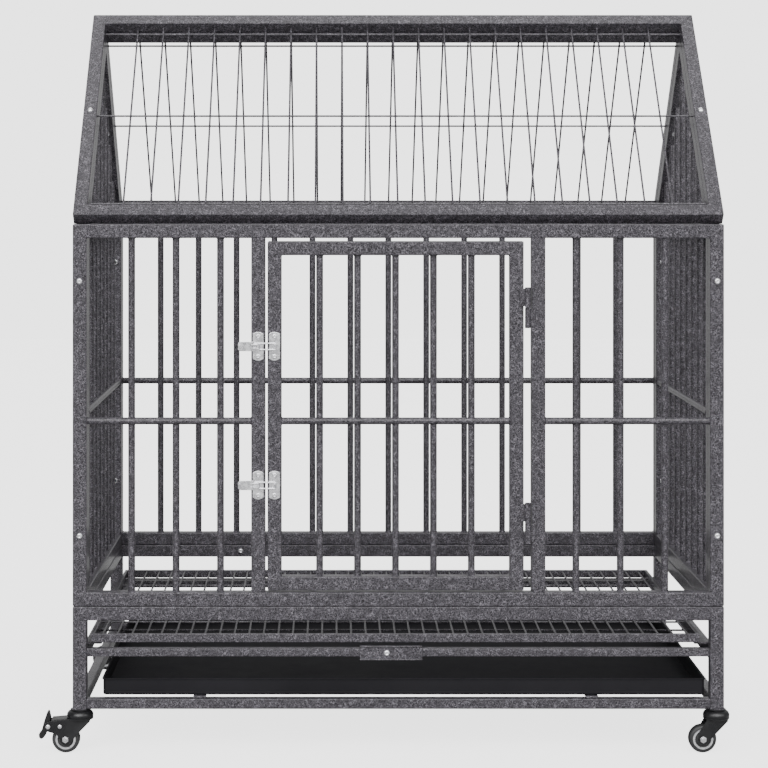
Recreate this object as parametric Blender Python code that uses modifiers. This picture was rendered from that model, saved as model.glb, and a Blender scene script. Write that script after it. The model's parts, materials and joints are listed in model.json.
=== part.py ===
# Dog cage on casters. Four welded panels of square tube and round bar stand on a base
# frame and carry a gable roof of two wire panels. The front has a door on lift-off
# hinges with two toggle latches, and the base holds a wire floor grate over a slide
# tray, both kept in by a turning stop plate.
# Metres. +X is to the right, +Y to the back and +Z up.

import math

import bmesh
import bpy
from mathutils import Matrix, Vector

# Sizes of the whole and of its stock
WIDTH = 0.930
DEPTH = 0.580
TUBE = 0.020
BAR = 0.010
CLEAR = 0.0003
WELD = 0.002
BAR_SIDES = 8
RAIL_OUT = 0.0045

# Base frame
BASE_HEIGHT = 0.147
BOTTOM_RAIL = 0.015
MID_RAIL = 0.012
MID_RAIL_MIDDLE = 0.0807
ANGLE_LEG = 0.024
ANGLE_WALL = 0.003
ANGLE_TOP = 0.0932
STRAP_WIDTH = 0.018
STRAP_WALL = 0.003
STRAP_LEFT = -0.284
STRAP_RIGHT = 0.277

# Floor grate
GRATE_WIDTH = 0.872
GRATE_DEPTH = 0.545
GRATE_HEIGHT = 0.0125
GRATE_RIM = 0.005
GRATE_SHIFT = -0.004
GRATE_BACK_GAP = 0.003
GRATE_WIRE = 0.003
GRATE_PITCH = 0.021
GRATE_CROSS_PITCH = 0.062
WIRE_SIDES = 6

# Slide tray
TRAY_WIDTH = 0.864
TRAY_DEPTH = 0.545
TRAY_HEIGHT = 0.022
TRAY_WALL = 0.002
TRAY_RIM = 0.005
TRAY_SHIFT = 0.008
TRAY_BACK_GAP = 0.005

# Tray stop plate and its screw
STOP_LONG = 0.0508
STOP_SHORT = 0.0388
STOP_HEIGHT = 0.0208
STOP_WALL = 0.002
STOP_FLANGE = 0.004
STOP_X = -0.0165
SCREW_DIAMETER = 0.005
SCREW_HEAD = 0.009

# Body panels
BODY_HEIGHT = 0.5455
FRONT_BAYS = 14
SIDE_BARS = 8
DOORWAY = 0.380
FRONT_RAIL_HEIGHT = 0.2642
SIDE_RAIL_HEIGHT = 0.2732

# Door
DOOR_LATCH_GAP = 0.0033
DOOR_HINGE_GAP = 0.011
DOOR_TOP_GAP = 0.0045
DOOR_BOTTOM_GAP = 0.0027
DOOR_BARS = 5

# Door hinges
KNUCKLE = 0.0090
KNUCKLE_HEIGHT = 0.029
HINGE_PIN = 0.0050
LEAF_WALL = 0.002
LEAF_WIDTH = 0.011
LOWER_HINGE = 0.1195
UPPER_HINGE = 0.4265
PIN_SIDES = 12

# Toggle latches
LATCH_HEIGHTS = {"upper": 0.3712, "lower": 0.1732}
PLATE_HEIGHT = 0.041
PLATE_WIDTH = 0.0157
PLATE_WALL = 0.0015
EAR_HALF = 0.0015
LATCH_PIN = 0.0024
LATCH_PIVOT_OUT = 0.0056
LATCH_THROW = 0.0060
LATCH_OVER_CENTRE = 0.0012
LEVER_REACH = 0.0227
LEVER_HEIGHT = 0.0134
LEVER_WALL = 0.0015
FLANGE_WALL = 0.0014
FLANGE_RADIUS = 0.0026
LOOP_WIRE = 0.002
TAB_HEIGHT = 0.0060

# Gable roof
ROOF_LEAN = math.radians(43.4)
ROOF_WIRE = 0.0028
ROOF_WIRES = 21
ROOF_PITCH = 0.0395
ROOF_CROSS_INSET = 0.012

# Frame bolts
BOLT = 0.005
BOLT_HEAD = 0.0088
BOLT_HEAD_HEIGHT = 0.0026
BOLT_HEAD_ROUND = 0.00132
NUT = 0.0092
NUT_HEIGHT = 0.004
BOLT_SIDES = 6
LOW_BOLT_HEIGHT = 0.1007
HIGH_BOLT_DROP = 0.0813
BACK_BOLT_RISE = 0.009
BASE_BOLT_X = 0.247

# Casters
CASTER_HEIGHT = 0.0622
WHEEL = 0.040
WHEEL_WIDTH = 0.017
WHEEL_SIDES = 20
TRAIL = 0.020
AXLE = 0.006
AXLE_NUT = 0.0125
HUB_RING_OUTER = 0.0145
HUB_RING_INNER = 0.012
HUB_RING_RISE = 0.0006
CHEEK_WALL = 0.002
CHEEK_GAP = 0.0015
DOME = 0.045
DOME_HEIGHT = 0.0115
SEAT_WALL = 0.0025
KINGPIN = 0.008
BRAKE_PIVOT = (-0.045, 0.0186)
BRAKE_RIVET = (-0.028, 0.0189)
BRAKED = ("front_left", "back_right")

# Heights and places that follow from the sizes above
axle_height = WHEEL / 2 * math.cos(math.pi / WHEEL_SIDES)
base_bottom = CASTER_HEIGHT + CLEAR
base_top = base_bottom + BASE_HEIGHT
body_bottom = base_top + CLEAR
body_top = body_bottom + BODY_HEIGHT
post_x = (WIDTH - TUBE) / 2
post_y = (DEPTH - TUBE) / 2
inner_x = WIDTH / 2 - TUBE
inner_y = DEPTH / 2 - TUBE
side_width = 2 * inner_y - 2 * CLEAR
front_pitch = 2 * inner_x / FRONT_BAYS
lean_sin = math.sin(ROOF_LEAN)
lean_cos = math.cos(ROOF_LEAN)
roof_foot = body_top + CLEAR + TUBE * lean_sin
roof_slope = DEPTH / 2 / lean_sin
ridge_height = roof_foot + roof_slope * lean_cos
STANDING = Matrix.Rotation(math.pi / 2, 4, "X")

for old in list(bpy.data.objects):
    bpy.data.objects.remove(old, do_unlink=True)

cage = bpy.data.collections.new("dog_cage")
helpers = bpy.data.collections.new("dog_cage_cutters")
bpy.context.scene.collection.children.link(cage)
bpy.context.scene.collection.children.link(helpers)

root = bpy.data.objects.new("cage_origin", None)
cage.objects.link(root)


def make_material(name, colour, roughness, metallic):
    material = bpy.data.materials.new(name)
    material.use_nodes = True
    shader = material.node_tree.nodes["Principled BSDF"]
    shader.inputs["Base Color"].default_value = (*colour, 1.0)
    shader.inputs["Roughness"].default_value = roughness
    shader.inputs["Metallic"].default_value = metallic
    return material


vein_paint = make_material("vein_paint", (0.085, 0.083, 0.090), 0.42, 0.35)
tray_black = make_material("tray_black", (0.012, 0.012, 0.013), 0.40, 0.0)
bright_zinc = make_material("bright_zinc", (0.72, 0.72, 0.74), 0.28, 1.0)
caster_black = make_material("caster_black", (0.016, 0.016, 0.017), 0.45, 0.1)
tyre_rubber = make_material("tyre_rubber", (0.020, 0.020, 0.021), 0.60, 0.0)


def finish_mesh(bm, name):
    bmesh.ops.recalc_face_normals(bm, faces=bm.faces)
    mesh = bpy.data.meshes.new(name)
    bm.to_mesh(mesh)
    bm.free()
    mesh.shade_smooth()
    mesh.set_sharp_from_angle(angle=math.radians(62))
    return mesh


# A curve, or a profile with a Screw modifier, is read as the viewport shows it, and
# its loose caps and seams are welded.
def evaluated_mesh(source, place=None):
    bpy.context.view_layer.update()
    shown = source.evaluated_get(bpy.context.evaluated_depsgraph_get())
    mesh = bpy.data.meshes.new_from_object(shown)
    bpy.data.objects.remove(source, do_unlink=True)
    bm = bmesh.new()
    bm.from_mesh(mesh)
    bmesh.ops.remove_doubles(bm, verts=bm.verts, dist=0.00001)
    if place is not None:
        bmesh.ops.transform(bm, matrix=place, verts=bm.verts)
    name = mesh.name
    bpy.data.meshes.remove(mesh)
    return finish_mesh(bm, name)


def outline_mesh(name, loops, thickness, place=STANDING):
    curve = bpy.data.curves.new(name, "CURVE")
    curve.dimensions = "2D"
    curve.fill_mode = "BOTH"
    curve.extrude = thickness / 2
    for loop in loops:
        spline = curve.splines.new("POLY")
        spline.points.add(len(loop) - 1)
        for point, (x, z) in zip(spline.points, loop):
            point.co = (x, z, 0.0, 1.0)
        spline.use_cyclic_u = True
    source = bpy.data.objects.new(name, curve)
    helpers.objects.link(source)
    return evaluated_mesh(source, place)


def wire_mesh(name, points, diameter, detail):
    curve = bpy.data.curves.new(name, "CURVE")
    curve.dimensions = "3D"
    curve.bevel_depth = diameter / 2
    curve.bevel_resolution = detail
    curve.use_fill_caps = True
    spline = curve.splines.new("POLY")
    spline.points.add(len(points) - 1)
    for point, place in zip(spline.points, points):
        point.co = (*place, 1.0)
    source = bpy.data.objects.new(name, curve)
    helpers.objects.link(source)
    return evaluated_mesh(source)


# The profile is a list of (radius, height) from the top down. It is turned about Z.
def turned_mesh(name, profile, sides, closed=False, place=None):
    mesh = bpy.data.meshes.new(name)
    count = len(profile)
    edges = [(i, i + 1) for i in range(count - 1)]
    if closed:
        edges.append((count - 1, 0))
    mesh.from_pydata([(radius, 0.0, height) for radius, height in profile], edges, [])
    source = bpy.data.objects.new(name, mesh)
    helpers.objects.link(source)
    screw = source.modifiers.new("turn", "SCREW")
    screw.axis = "Z"
    screw.steps = sides
    screw.render_steps = sides
    screw.use_merge_vertices = True
    screw.merge_threshold = 0.00001
    return evaluated_mesh(source, place)


def boxes_mesh(name, boxes):
    bm = bmesh.new()
    for low, high in boxes:
        low, high = Vector(low), Vector(high)
        place = Matrix.LocRotScale((low + high) / 2, None, high - low)
        bmesh.ops.create_cube(bm, size=1.0, matrix=place)
    return finish_mesh(bm, name)


def rods_mesh(name, lines, diameter, sides):
    bm = bmesh.new()
    for start, end in lines:
        start, end = Vector(start), Vector(end)
        aim = (end - start).to_track_quat("Z", "Y").to_matrix().to_4x4()
        half_step = Matrix.Rotation(math.pi / sides, 4, "Z")
        place = Matrix.Translation((start + end) / 2) @ aim @ half_step
        bmesh.ops.create_cone(
            bm, cap_ends=True, segments=sides, radius1=diameter / 2,
            radius2=diameter / 2, depth=(end - start).length, matrix=place)
    return finish_mesh(bm, name)


def copies_mesh(name, mesh, places):
    bm = bmesh.new()
    for place in places:
        part = bmesh.new()
        part.from_mesh(mesh)
        bmesh.ops.transform(part, matrix=place, verts=part.verts)
        placed = bpy.data.meshes.new(name)
        part.to_mesh(placed)
        part.free()
        bm.from_mesh(placed)
        bpy.data.meshes.remove(placed)
    return finish_mesh(bm, name)


def add_node(name, mesh, material, spot=(0.0, 0.0, 0.0), turn=(0.0, 0.0, 0.0), parent=root):
    node = bpy.data.objects.new(name, mesh)
    cage.objects.link(node)
    if not mesh.materials:
        mesh.materials.append(material)
    node.location = spot
    node.rotation_euler = turn
    node.parent = parent
    return node


# The second mesh is in the node's own coordinates. It is joined to it or cut from it.
def combine(node, mesh, operation):
    other = bpy.data.objects.new(mesh.name, mesh)
    helpers.objects.link(other)
    other.parent = node
    other.hide_render = True
    other.display_type = "WIRE"
    modifier = node.modifiers.new(mesh.name, "BOOLEAN")
    modifier.operation = operation
    modifier.solver = "EXACT"
    modifier.object = other


def rectangle(left, low, right, high):
    return [(left, low), (right, low), (right, high), (left, high)]


def arc(centre, radius, first, last, steps):
    angles = [math.radians(first + (last - first) * i / steps) for i in range(steps + 1)]
    return [(centre[0] + radius * math.cos(a), centre[1] + radius * math.sin(a)) for a in angles]


def evenly(count, pitch):
    return [(i - (count - 1) / 2) * pitch for i in range(count)]


# A bolt along Z: its head is above the face at zero and its nut below the grip.
def bolt_mesh(name, grip):
    head = BOLT_HEAD / 2
    nut_top = -grip - CLEAR
    profile = [
        (0.0, BOLT_HEAD_HEIGHT), (head - BOLT_HEAD_ROUND, BOLT_HEAD_HEIGHT), (head, CLEAR),
        (BOLT / 2, CLEAR), (BOLT / 2, nut_top), (NUT / 2, nut_top),
        (NUT / 2, nut_top - NUT_HEIGHT), (0.0, nut_top - NUT_HEIGHT)]
    return turned_mesh(name, profile, BOLT_SIDES)


def screw_head_mesh(name, head, shank, length):
    profile = [
        (0.0, head * 0.28), (head * 0.32, head * 0.24), (head / 2, CLEAR),
        (shank / 2, CLEAR), (shank / 2, -length), (0.0, -length)]
    return turned_mesh(name, profile, 8)


# Base frame: a top ring on four posts, with lower rails, mid rails across the front
# and back, and an angle along each side that carries the grate.
def build_base():
    ring = [rectangle(-WIDTH / 2, -DEPTH / 2, WIDTH / 2, DEPTH / 2),
            rectangle(-inner_x, -inner_y, inner_x, inner_y)]
    top = Matrix.Translation((0.0, 0.0, BASE_HEIGHT - TUBE / 2))
    node = add_node("base_frame", outline_mesh("base_ring", ring, TUBE, top),
                    vein_paint, (0.0, 0.0, base_bottom))

    half = TUBE / 2
    posts = []
    for x in (-post_x, post_x):
        for y in (-post_y, post_y):
            posts.append(((x - half, y - half, 0.0), (x + half, y + half, BASE_HEIGHT - half)))
    combine(node, boxes_mesh("base_posts", posts), "UNION")

    rails = []
    low = BOTTOM_RAIL / 2
    mid = MID_RAIL / 2
    for y in (-post_y, post_y):
        reach = inner_x + WELD
        rails.append(((-reach, y - low, 0.0), (reach, y + low, BOTTOM_RAIL)))
        rails.append(((-reach, y - mid, MID_RAIL_MIDDLE - mid),
                      (reach, y + mid, MID_RAIL_MIDDLE + mid)))
    for x in (-post_x, post_x):
        reach = inner_y + WELD
        rails.append(((x - low, -reach, 0.0), (x + low, reach, BOTTOM_RAIL)))
    combine(node, boxes_mesh("base_rails", rails), "UNION")

    for side in (-1, 1):
        outer = side * (inner_x + WELD * 2)
        wall = side * (inner_x + WELD * 2 - ANGLE_WALL)
        tip = side * (inner_x + WELD * 2 - ANGLE_LEG)
        leg = [(outer, ANGLE_TOP), (outer, ANGLE_TOP - ANGLE_LEG), (wall, ANGLE_TOP - ANGLE_LEG),
               (wall, ANGLE_TOP - ANGLE_WALL), (tip, ANGLE_TOP - ANGLE_WALL), (tip, ANGLE_TOP)]
        combine(node, outline_mesh("grate_angle", [leg], 2 * (inner_y + WELD)), "UNION")

    hole = STOP_X, MID_RAIL_MIDDLE
    bore = rods_mesh("stop_screw_hole", [((hole[0], -post_y - TUBE, hole[1]),
                                          (hole[0], -post_y + TUBE, hole[1]))],
                     SCREW_DIAMETER + 2 * CLEAR, 8)
    combine(node, bore, "DIFFERENCE")

    bolt_z = BASE_HEIGHT - TUBE / 2
    bores = [((x, post_y - TUBE, bolt_z), (x, post_y + TUBE, bolt_z))
             for x in (-BASE_BOLT_X, BASE_BOLT_X)]
    combine(node, rods_mesh("base_bolt_holes", bores, BOLT + 4 * CLEAR, BOLT_SIDES), "DIFFERENCE")


def build_straps():
    length = 2 * post_y + BOTTOM_RAIL - 2 * WELD
    low = base_bottom + BOTTOM_RAIL + CLEAR
    for name, x in (("tray_support_left", STRAP_LEFT), ("tray_support_right", STRAP_RIGHT)):
        mesh = boxes_mesh(name, [((-STRAP_WIDTH / 2, -length / 2, 0.0),
                                  (STRAP_WIDTH / 2, length / 2, STRAP_WALL))])
        add_node(name, mesh, vein_paint, (x, 0.0, low))


# Floor grate: wires front to back, welded into the rim, pass just above the cross wires.
def build_grate():
    half_x = GRATE_WIDTH / 2
    half_y = GRATE_DEPTH / 2
    rim = [rectangle(-half_x, -half_y, half_x, half_y),
           rectangle(-half_x + GRATE_RIM, -half_y + GRATE_RIM, half_x - GRATE_RIM, half_y - GRATE_RIM)]
    lift = Matrix.Translation((0.0, 0.0, GRATE_HEIGHT / 2))
    y = inner_y - GRATE_BACK_GAP - half_y
    node = add_node("floor_grate", outline_mesh("grate_rim", rim, GRATE_HEIGHT, lift),
                    vein_paint, (GRATE_SHIFT, y, base_bottom + ANGLE_TOP + CLEAR))

    long_z = GRATE_HEIGHT - GRATE_WIRE
    cross_z = long_z - GRATE_WIRE - CLEAR
    reach_y = half_y - GRATE_RIM + WELD
    reach_x = half_x - GRATE_RIM + WELD
    long_count = int((GRATE_WIDTH - 2 * GRATE_RIM) / GRATE_PITCH)
    cross_count = int((GRATE_DEPTH - 2 * GRATE_RIM) / GRATE_CROSS_PITCH)
    longs = [((x, -reach_y, long_z), (x, reach_y, long_z)) for x in evenly(long_count, GRATE_PITCH)]
    crosses = [((-reach_x, y, cross_z), (reach_x, y, cross_z))
               for y in evenly(cross_count, GRATE_CROSS_PITCH)]
    combine(node, rods_mesh("grate_wires", longs, GRATE_WIRE, WIRE_SIDES), "UNION")
    combine(node, rods_mesh("grate_cross_wires", crosses, GRATE_WIRE, WIRE_SIDES), "UNION")


# Slide tray: a pan with an outward rim round its top.
def build_tray():
    half_x = TRAY_WIDTH / 2 - TRAY_RIM
    half_y = TRAY_DEPTH / 2 - TRAY_RIM
    y = inner_y - TRAY_BACK_GAP - TRAY_DEPTH / 2
    z = base_bottom + BOTTOM_RAIL + CLEAR + STRAP_WALL + CLEAR
    pan = boxes_mesh("slide_tray", [((-half_x, -half_y, 0.0), (half_x, half_y, TRAY_HEIGHT - TRAY_WALL / 2))])
    node = add_node("slide_tray", pan, tray_black, (TRAY_SHIFT, y, z))
    brim = boxes_mesh("tray_rim", [((-TRAY_WIDTH / 2, -TRAY_DEPTH / 2, TRAY_HEIGHT - TRAY_WALL),
                                    (TRAY_WIDTH / 2, TRAY_DEPTH / 2, TRAY_HEIGHT))])
    combine(node, brim, "UNION")
    hollow = boxes_mesh("tray_hollow", [((TRAY_WALL - half_x, TRAY_WALL - half_y, TRAY_WALL),
                                         (half_x - TRAY_WALL, half_y - TRAY_WALL, 2 * TRAY_HEIGHT))])
    combine(node, hollow, "DIFFERENCE")


# Stop plate: a shallow channel that turns on one screw in the front mid rail.
def build_stop():
    half = STOP_HEIGHT / 2
    wall = STOP_WALL
    front = -post_y - MID_RAIL / 2
    spot = (STOP_X, front - CLEAR, base_bottom + MID_RAIL_MIDDLE)
    channel = [(0.0, -half), (0.0, half), (-STOP_FLANGE, half), (-STOP_FLANGE, half - wall),
               (-wall, half - wall), (-wall, -half + wall), (-STOP_FLANGE, -half + wall),
               (-STOP_FLANGE, -half)]
    along = Matrix(((0, 0, 1, (STOP_LONG - STOP_SHORT) / 2), (1, 0, 0, 0), (0, 1, 0, 0), (0, 0, 0, 1)))
    length = STOP_LONG + STOP_SHORT
    node = add_node("tray_stop_plate", outline_mesh("stop_channel", [channel], length, along),
                    vein_paint, spot)
    hole = rods_mesh("stop_hole", [((0.0, -STOP_FLANGE, 0.0), (0.0, STOP_FLANGE, 0.0))],
                     SCREW_DIAMETER + 2 * CLEAR, 8)
    combine(node, hole, "DIFFERENCE")
    screw = screw_head_mesh("tray_stop_screw", SCREW_HEAD, SCREW_DIAMETER, STOP_WALL + MID_RAIL)
    add_node("tray_stop_screw", screw, bright_zinc, (STOP_X, spot[1] - STOP_WALL, spot[2]),
             (math.pi / 2, 0.0, 0.0))


# A standing frame of square tube with round bars and a rail across their outer side.
def barred_frame(name, loops, uprights, rails, spot, turn, parent=root):
    node = add_node(name, outline_mesh(name, loops, TUBE), vein_paint, spot, turn, parent)
    bars = [((x, 0.0, low), (x, 0.0, high)) for x, low, high in uprights]
    combine(node, rods_mesh(name + "_bars", bars, BAR, BAR_SIDES), "UNION")
    if rails:
        lines = [((left, -RAIL_OUT, z), (right, -RAIL_OUT, z)) for left, right, z in rails]
        combine(node, rods_mesh(name + "_rails", lines, BAR, BAR_SIDES), "UNION")
    return node


def body_bolt_holes(node, x_places, heights):
    lines = [((x, -TUBE, z), (x, TUBE, z)) for x in x_places for z in heights]
    combine(node, rods_mesh(node.name + "_bolt_holes", lines, BOLT + 4 * CLEAR, BOLT_SIDES), "DIFFERENCE")


def build_body():
    low = TUBE
    high = BODY_HEIGHT - TUBE
    stop = WELD
    front_bolts = (LOW_BOLT_HEIGHT, BODY_HEIGHT - HIGH_BOLT_DROP)
    back_bolts = tuple(height + BACK_BOLT_RISE for height in front_bolts)

    door_post = DOORWAY / 2 + TUBE
    outer = rectangle(-WIDTH / 2, 0.0, WIDTH / 2, BODY_HEIGHT)
    holes = [rectangle(-inner_x, low, -door_post, high),
             rectangle(-DOORWAY / 2, low, DOORWAY / 2, high),
             rectangle(door_post, low, inner_x, high)]
    uprights = [(side * (inner_x - step * front_pitch), low - stop, high + stop)
                for side in (-1, 1) for step in (1, 2, 3)]
    rails = [(-inner_x - stop, -door_post + stop, FRONT_RAIL_HEIGHT),
             (door_post - stop, inner_x + stop, FRONT_RAIL_HEIGHT)]
    front = barred_frame("front_frame", [outer] + holes, uprights, rails,
                         (0.0, -post_y, body_bottom), (0.0, 0.0, 0.0))
    body_bolt_holes(front, (-post_x, post_x), front_bolts)

    hole = rectangle(-inner_x, low, inner_x, high)
    uprights = [(x, low - stop, high + stop) for x in evenly(FRONT_BAYS - 1, front_pitch)]
    rails = [(-inner_x - stop, inner_x + stop, SIDE_RAIL_HEIGHT)]
    back = barred_frame("back_frame", [outer, hole], uprights, rails,
                        (0.0, post_y, body_bottom), (0.0, 0.0, math.pi))
    body_bolt_holes(back, (-post_x, post_x), back_bolts)

    half = side_width / 2
    inside = half - TUBE
    outer = rectangle(-half, 0.0, half, BODY_HEIGHT)
    hole = rectangle(-inside, low, inside, high)
    side_pitch = 2 * inside / (SIDE_BARS + 1)
    uprights = [(x, low - stop, high + stop) for x in evenly(SIDE_BARS, side_pitch)]
    rails = [(-inside - stop, inside + stop, SIDE_RAIL_HEIGHT)]
    for name, side in (("left_side_frame", -1), ("right_side_frame", 1)):
        node = barred_frame(name, [outer, hole], uprights, rails,
                            (side * post_x, 0.0, body_bottom), (0.0, 0.0, side * math.pi / 2))
        post = half - TUBE / 2
        for heights, end in ((front_bolts, -side), (back_bolts, side)):
            lines = [((end * (post - TUBE), 0.0, z), (end * (post + TUBE), 0.0, z)) for z in heights]
            combine(node, rods_mesh(name + "_holes", lines, BOLT + 4 * CLEAR, BOLT_SIDES), "DIFFERENCE")

    grip = 2 * TUBE + CLEAR
    bolt = bolt_mesh("frame_bolt", grip)
    for where, face, heights, turn in (("front", -DEPTH / 2, front_bolts, math.pi / 2),
                                       ("back", DEPTH / 2, back_bolts, -math.pi / 2)):
        for across, x in (("left", -post_x), ("right", post_x)):
            for level, z in zip(("low", "high"), heights):
                add_node("_".join(("bolt", where, across, level)), bolt, bright_zinc,
                         (x, face, body_bottom + z), (turn, 0.0, 0.0))

    base_bolt = bolt_mesh("base_bolt", TUBE)
    for across, x in (("left", -BASE_BOLT_X), ("right", BASE_BOLT_X)):
        add_node("bolt_base_" + across, base_bolt, bright_zinc,
                 (x, inner_y, base_top - TUBE / 2), (math.pi / 2, 0.0, 0.0))


# Door, on an empty that stands on the hinge axis
def build_door():
    left = -DOORWAY / 2 + DOOR_LATCH_GAP
    right = DOORWAY / 2 - DOOR_HINGE_GAP
    low = TUBE + DOOR_BOTTOM_GAP
    high = BODY_HEIGHT - TUBE - DOOR_TOP_GAP
    axis_x = DOORWAY / 2 - DOOR_HINGE_GAP / 2
    axis_y = -DEPTH / 2 - CLEAR - KNUCKLE / 2

    pivot = bpy.data.objects.new("door_axis", None)
    cage.objects.link(pivot)
    pivot.parent = root
    pivot.location = (axis_x, axis_y, body_bottom)

    inset_left = left + TUBE
    inset_right = right - TUBE
    outer = rectangle(left, low, right, high)
    hole = rectangle(inset_left, low + TUBE, inset_right, high - TUBE)
    pitch = (inset_right - inset_left) / (DOOR_BARS + 1)
    middle = (left + right) / 2
    uprights = [(middle + x, low + TUBE - WELD, high - TUBE + WELD) for x in evenly(DOOR_BARS, pitch)]
    rails = [(inset_left - WELD, inset_right + WELD, FRONT_RAIL_HEIGHT)]
    barred_frame("door", [outer, hole], uprights, rails,
                 (-axis_x, -post_y - axis_y, 0.0), (0.0, 0.0, 0.0), pivot)

    # Each hinge: the door's knuckle sits over the pin that stands in the frame's knuckle.
    leaf_y = KNUCKLE / 2
    for name, split in (("lower", LOWER_HINGE), ("upper", UPPER_HINGE)):
        knuckle = rods_mesh("door_knuckle", [((0.0, 0.0, CLEAR), (0.0, 0.0, KNUCKLE_HEIGHT))],
                            KNUCKLE, PIN_SIDES)
        door_half = add_node("door_hinge_" + name, knuckle, vein_paint, (0.0, 0.0, split), parent=pivot)
        leaf = boxes_mesh("door_leaf", [((-LEAF_WIDTH, leaf_y - LEAF_WALL, WELD),
                                         (0.0, leaf_y - CLEAR, KNUCKLE_HEIGHT - WELD))])
        combine(door_half, leaf, "UNION")
        bore = rods_mesh("pin_bore", [((0.0, 0.0, -WELD), (0.0, 0.0, KNUCKLE_HEIGHT + WELD))],
                         HINGE_PIN + 2 * CLEAR, PIN_SIDES)
        combine(door_half, bore, "DIFFERENCE")

        barrel = rods_mesh("frame_knuckle", [((0.0, 0.0, -KNUCKLE_HEIGHT), (0.0, 0.0, 0.0))],
                           KNUCKLE, PIN_SIDES)
        frame_half = add_node("frame_hinge_" + name, barrel, vein_paint,
                              (axis_x, axis_y, body_bottom + split))
        leaf = boxes_mesh("frame_leaf", [((0.0, leaf_y - LEAF_WALL, -KNUCKLE_HEIGHT + WELD),
                                          (LEAF_WIDTH, leaf_y, -WELD))])
        combine(frame_half, leaf, "UNION")
        pin = rods_mesh("hinge_pin", [((0.0, 0.0, -TUBE), (0.0, 0.0, KNUCKLE_HEIGHT - WELD))],
                        HINGE_PIN, PIN_SIDES)
        combine(frame_half, pin, "UNION")
    return pivot


# Toggle latch: a base plate with an ear and pin, a lever that straddles the ear, a wire
# loop hung in the lever and a catch plate with an upright tab on the door.
def build_latch(name, height, pivot):
    face = -DEPTH / 2 - CLEAR
    plate_x = -DOORWAY / 2 - TUBE / 2
    z = body_bottom + height
    out = LATCH_PIVOT_OUT
    hook = LATCH_THROW, LATCH_OVER_CENTRE

    plate = boxes_mesh("latch_plate", [((-PLATE_WIDTH / 2, -PLATE_WALL, -PLATE_HEIGHT / 2),
                                        (PLATE_WIDTH / 2, 0.0, PLATE_HEIGHT / 2))])
    base = add_node("latch_base_" + name, plate, bright_zinc, (plate_x, face, z))
    radius = FLANGE_RADIUS - CLEAR
    ear = [(radius, -WELD / 2), (-radius, -WELD / 2)] + arc((0.0, -out), radius, 180, 360, 8)
    flat = Matrix.Identity(4)
    combine(base, outline_mesh("latch_ear", [ear], 2 * EAR_HALF, flat), "UNION")
    inner = EAR_HALF + CLEAR
    outer = inner + FLANGE_WALL
    pin = rods_mesh("latch_pin", [((0.0, -out, -outer), (0.0, -out, outer))], LATCH_PIN, 8)
    combine(base, pin, "UNION")

    # The lever's own origin is on its pin, and the loop's on its hooks in the lever.
    lever_spot = (plate_x, face - out, z)
    back = hook[1] + FLANGE_RADIUS - LATCH_OVER_CENTRE
    root_x = -hook[0] - 2 * FLANGE_RADIUS
    side = [(root_x, back), (0.0, back)]
    side += [(x, y) for x, y in arc((0.0, 0.0), FLANGE_RADIUS, 60, -90, 6)]
    side += [(-hook[0], -FLANGE_RADIUS), (root_x, back - LEVER_WALL * 1.5)]
    lever = add_node("latch_lever_" + name, outline_mesh("lever_flange", [side], 2 * outer, flat),
                     bright_zinc, lever_spot)
    tip = -LEVER_REACH - PLATE_WIDTH / 2 + WELD
    strip = [((tip, back - LEVER_WALL, -LEVER_HEIGHT / 2),
              (-hook[0] - LOOP_WIRE, back, LEVER_HEIGHT / 2))]
    combine(lever, boxes_mesh("lever_strip", strip), "UNION")
    lip = [((tip - CLEAR, -LEVER_WALL, -LEVER_HEIGHT / 2 + WELD),
            (tip + LEVER_WALL, back - CLEAR, LEVER_HEIGHT / 2 - WELD))]
    combine(lever, boxes_mesh("lever_lip", lip), "UNION")
    slot = [((root_x + LEVER_WALL, -TUBE, -inner), (TUBE, TUBE, inner))]
    combine(lever, boxes_mesh("lever_slot", slot), "DIFFERENCE")
    bore = rods_mesh("lever_bore", [((0.0, 0.0, -TUBE), (0.0, 0.0, TUBE))], LATCH_PIN + 2 * CLEAR, 8)
    combine(lever, bore, "DIFFERENCE")
    eye = rods_mesh("lever_eye", [((-hook[0], hook[1], -outer - CLEAR),
                                   (-hook[0], hook[1], outer + CLEAR))], LOOP_WIRE + 2 * CLEAR, 8)
    combine(lever, eye, "DIFFERENCE")

    loop_half = outer + CLEAR + LOOP_WIRE / 2
    door_left = -DOORWAY / 2 + DOOR_LATCH_GAP
    catch_x = door_left + TUBE / 2
    tab_right = catch_x + PLATE_WALL / 2
    reach = tab_right + CLEAR + LOOP_WIRE / 2 - (plate_x - hook[0])
    bend = LOOP_WIRE * 0.8
    upper = [(0.0, 0.0, inner + CLEAR), (0.0, 0.0, loop_half - bend), (bend * 0.3, 0.0, loop_half - bend * 0.3),
             (bend, 0.0, loop_half), (reach - bend, 0.0, loop_half),
             (reach - bend * 0.3, 0.0, loop_half - bend * 0.3), (reach, 0.0, loop_half - bend)]
    path = upper + [(x, y, -height) for x, y, height in reversed(upper)]
    add_node("latch_loop_" + name, wire_mesh("latch_loop", path, LOOP_WIRE, 1), bright_zinc,
             (-hook[0], hook[1], 0.0), parent=lever)

    tab = [((catch_x - PLATE_WALL / 2, -PLATE_WALL - TAB_HEIGHT, -outer + CLEAR),
            (tab_right, -PLATE_WALL / 2, outer - CLEAR))]
    catch_plate = boxes_mesh("catch_plate", [
        ((catch_x - PLATE_WIDTH / 2, -PLATE_WALL, -PLATE_HEIGHT / 2),
         (catch_x + PLATE_WIDTH / 2, 0.0, PLATE_HEIGHT / 2))])
    catch = add_node("latch_catch_" + name, catch_plate, bright_zinc,
                     (-pivot.location.x, face - pivot.location.y, height), parent=pivot)
    combine(catch, boxes_mesh("catch_tab", tab), "UNION")


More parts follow.
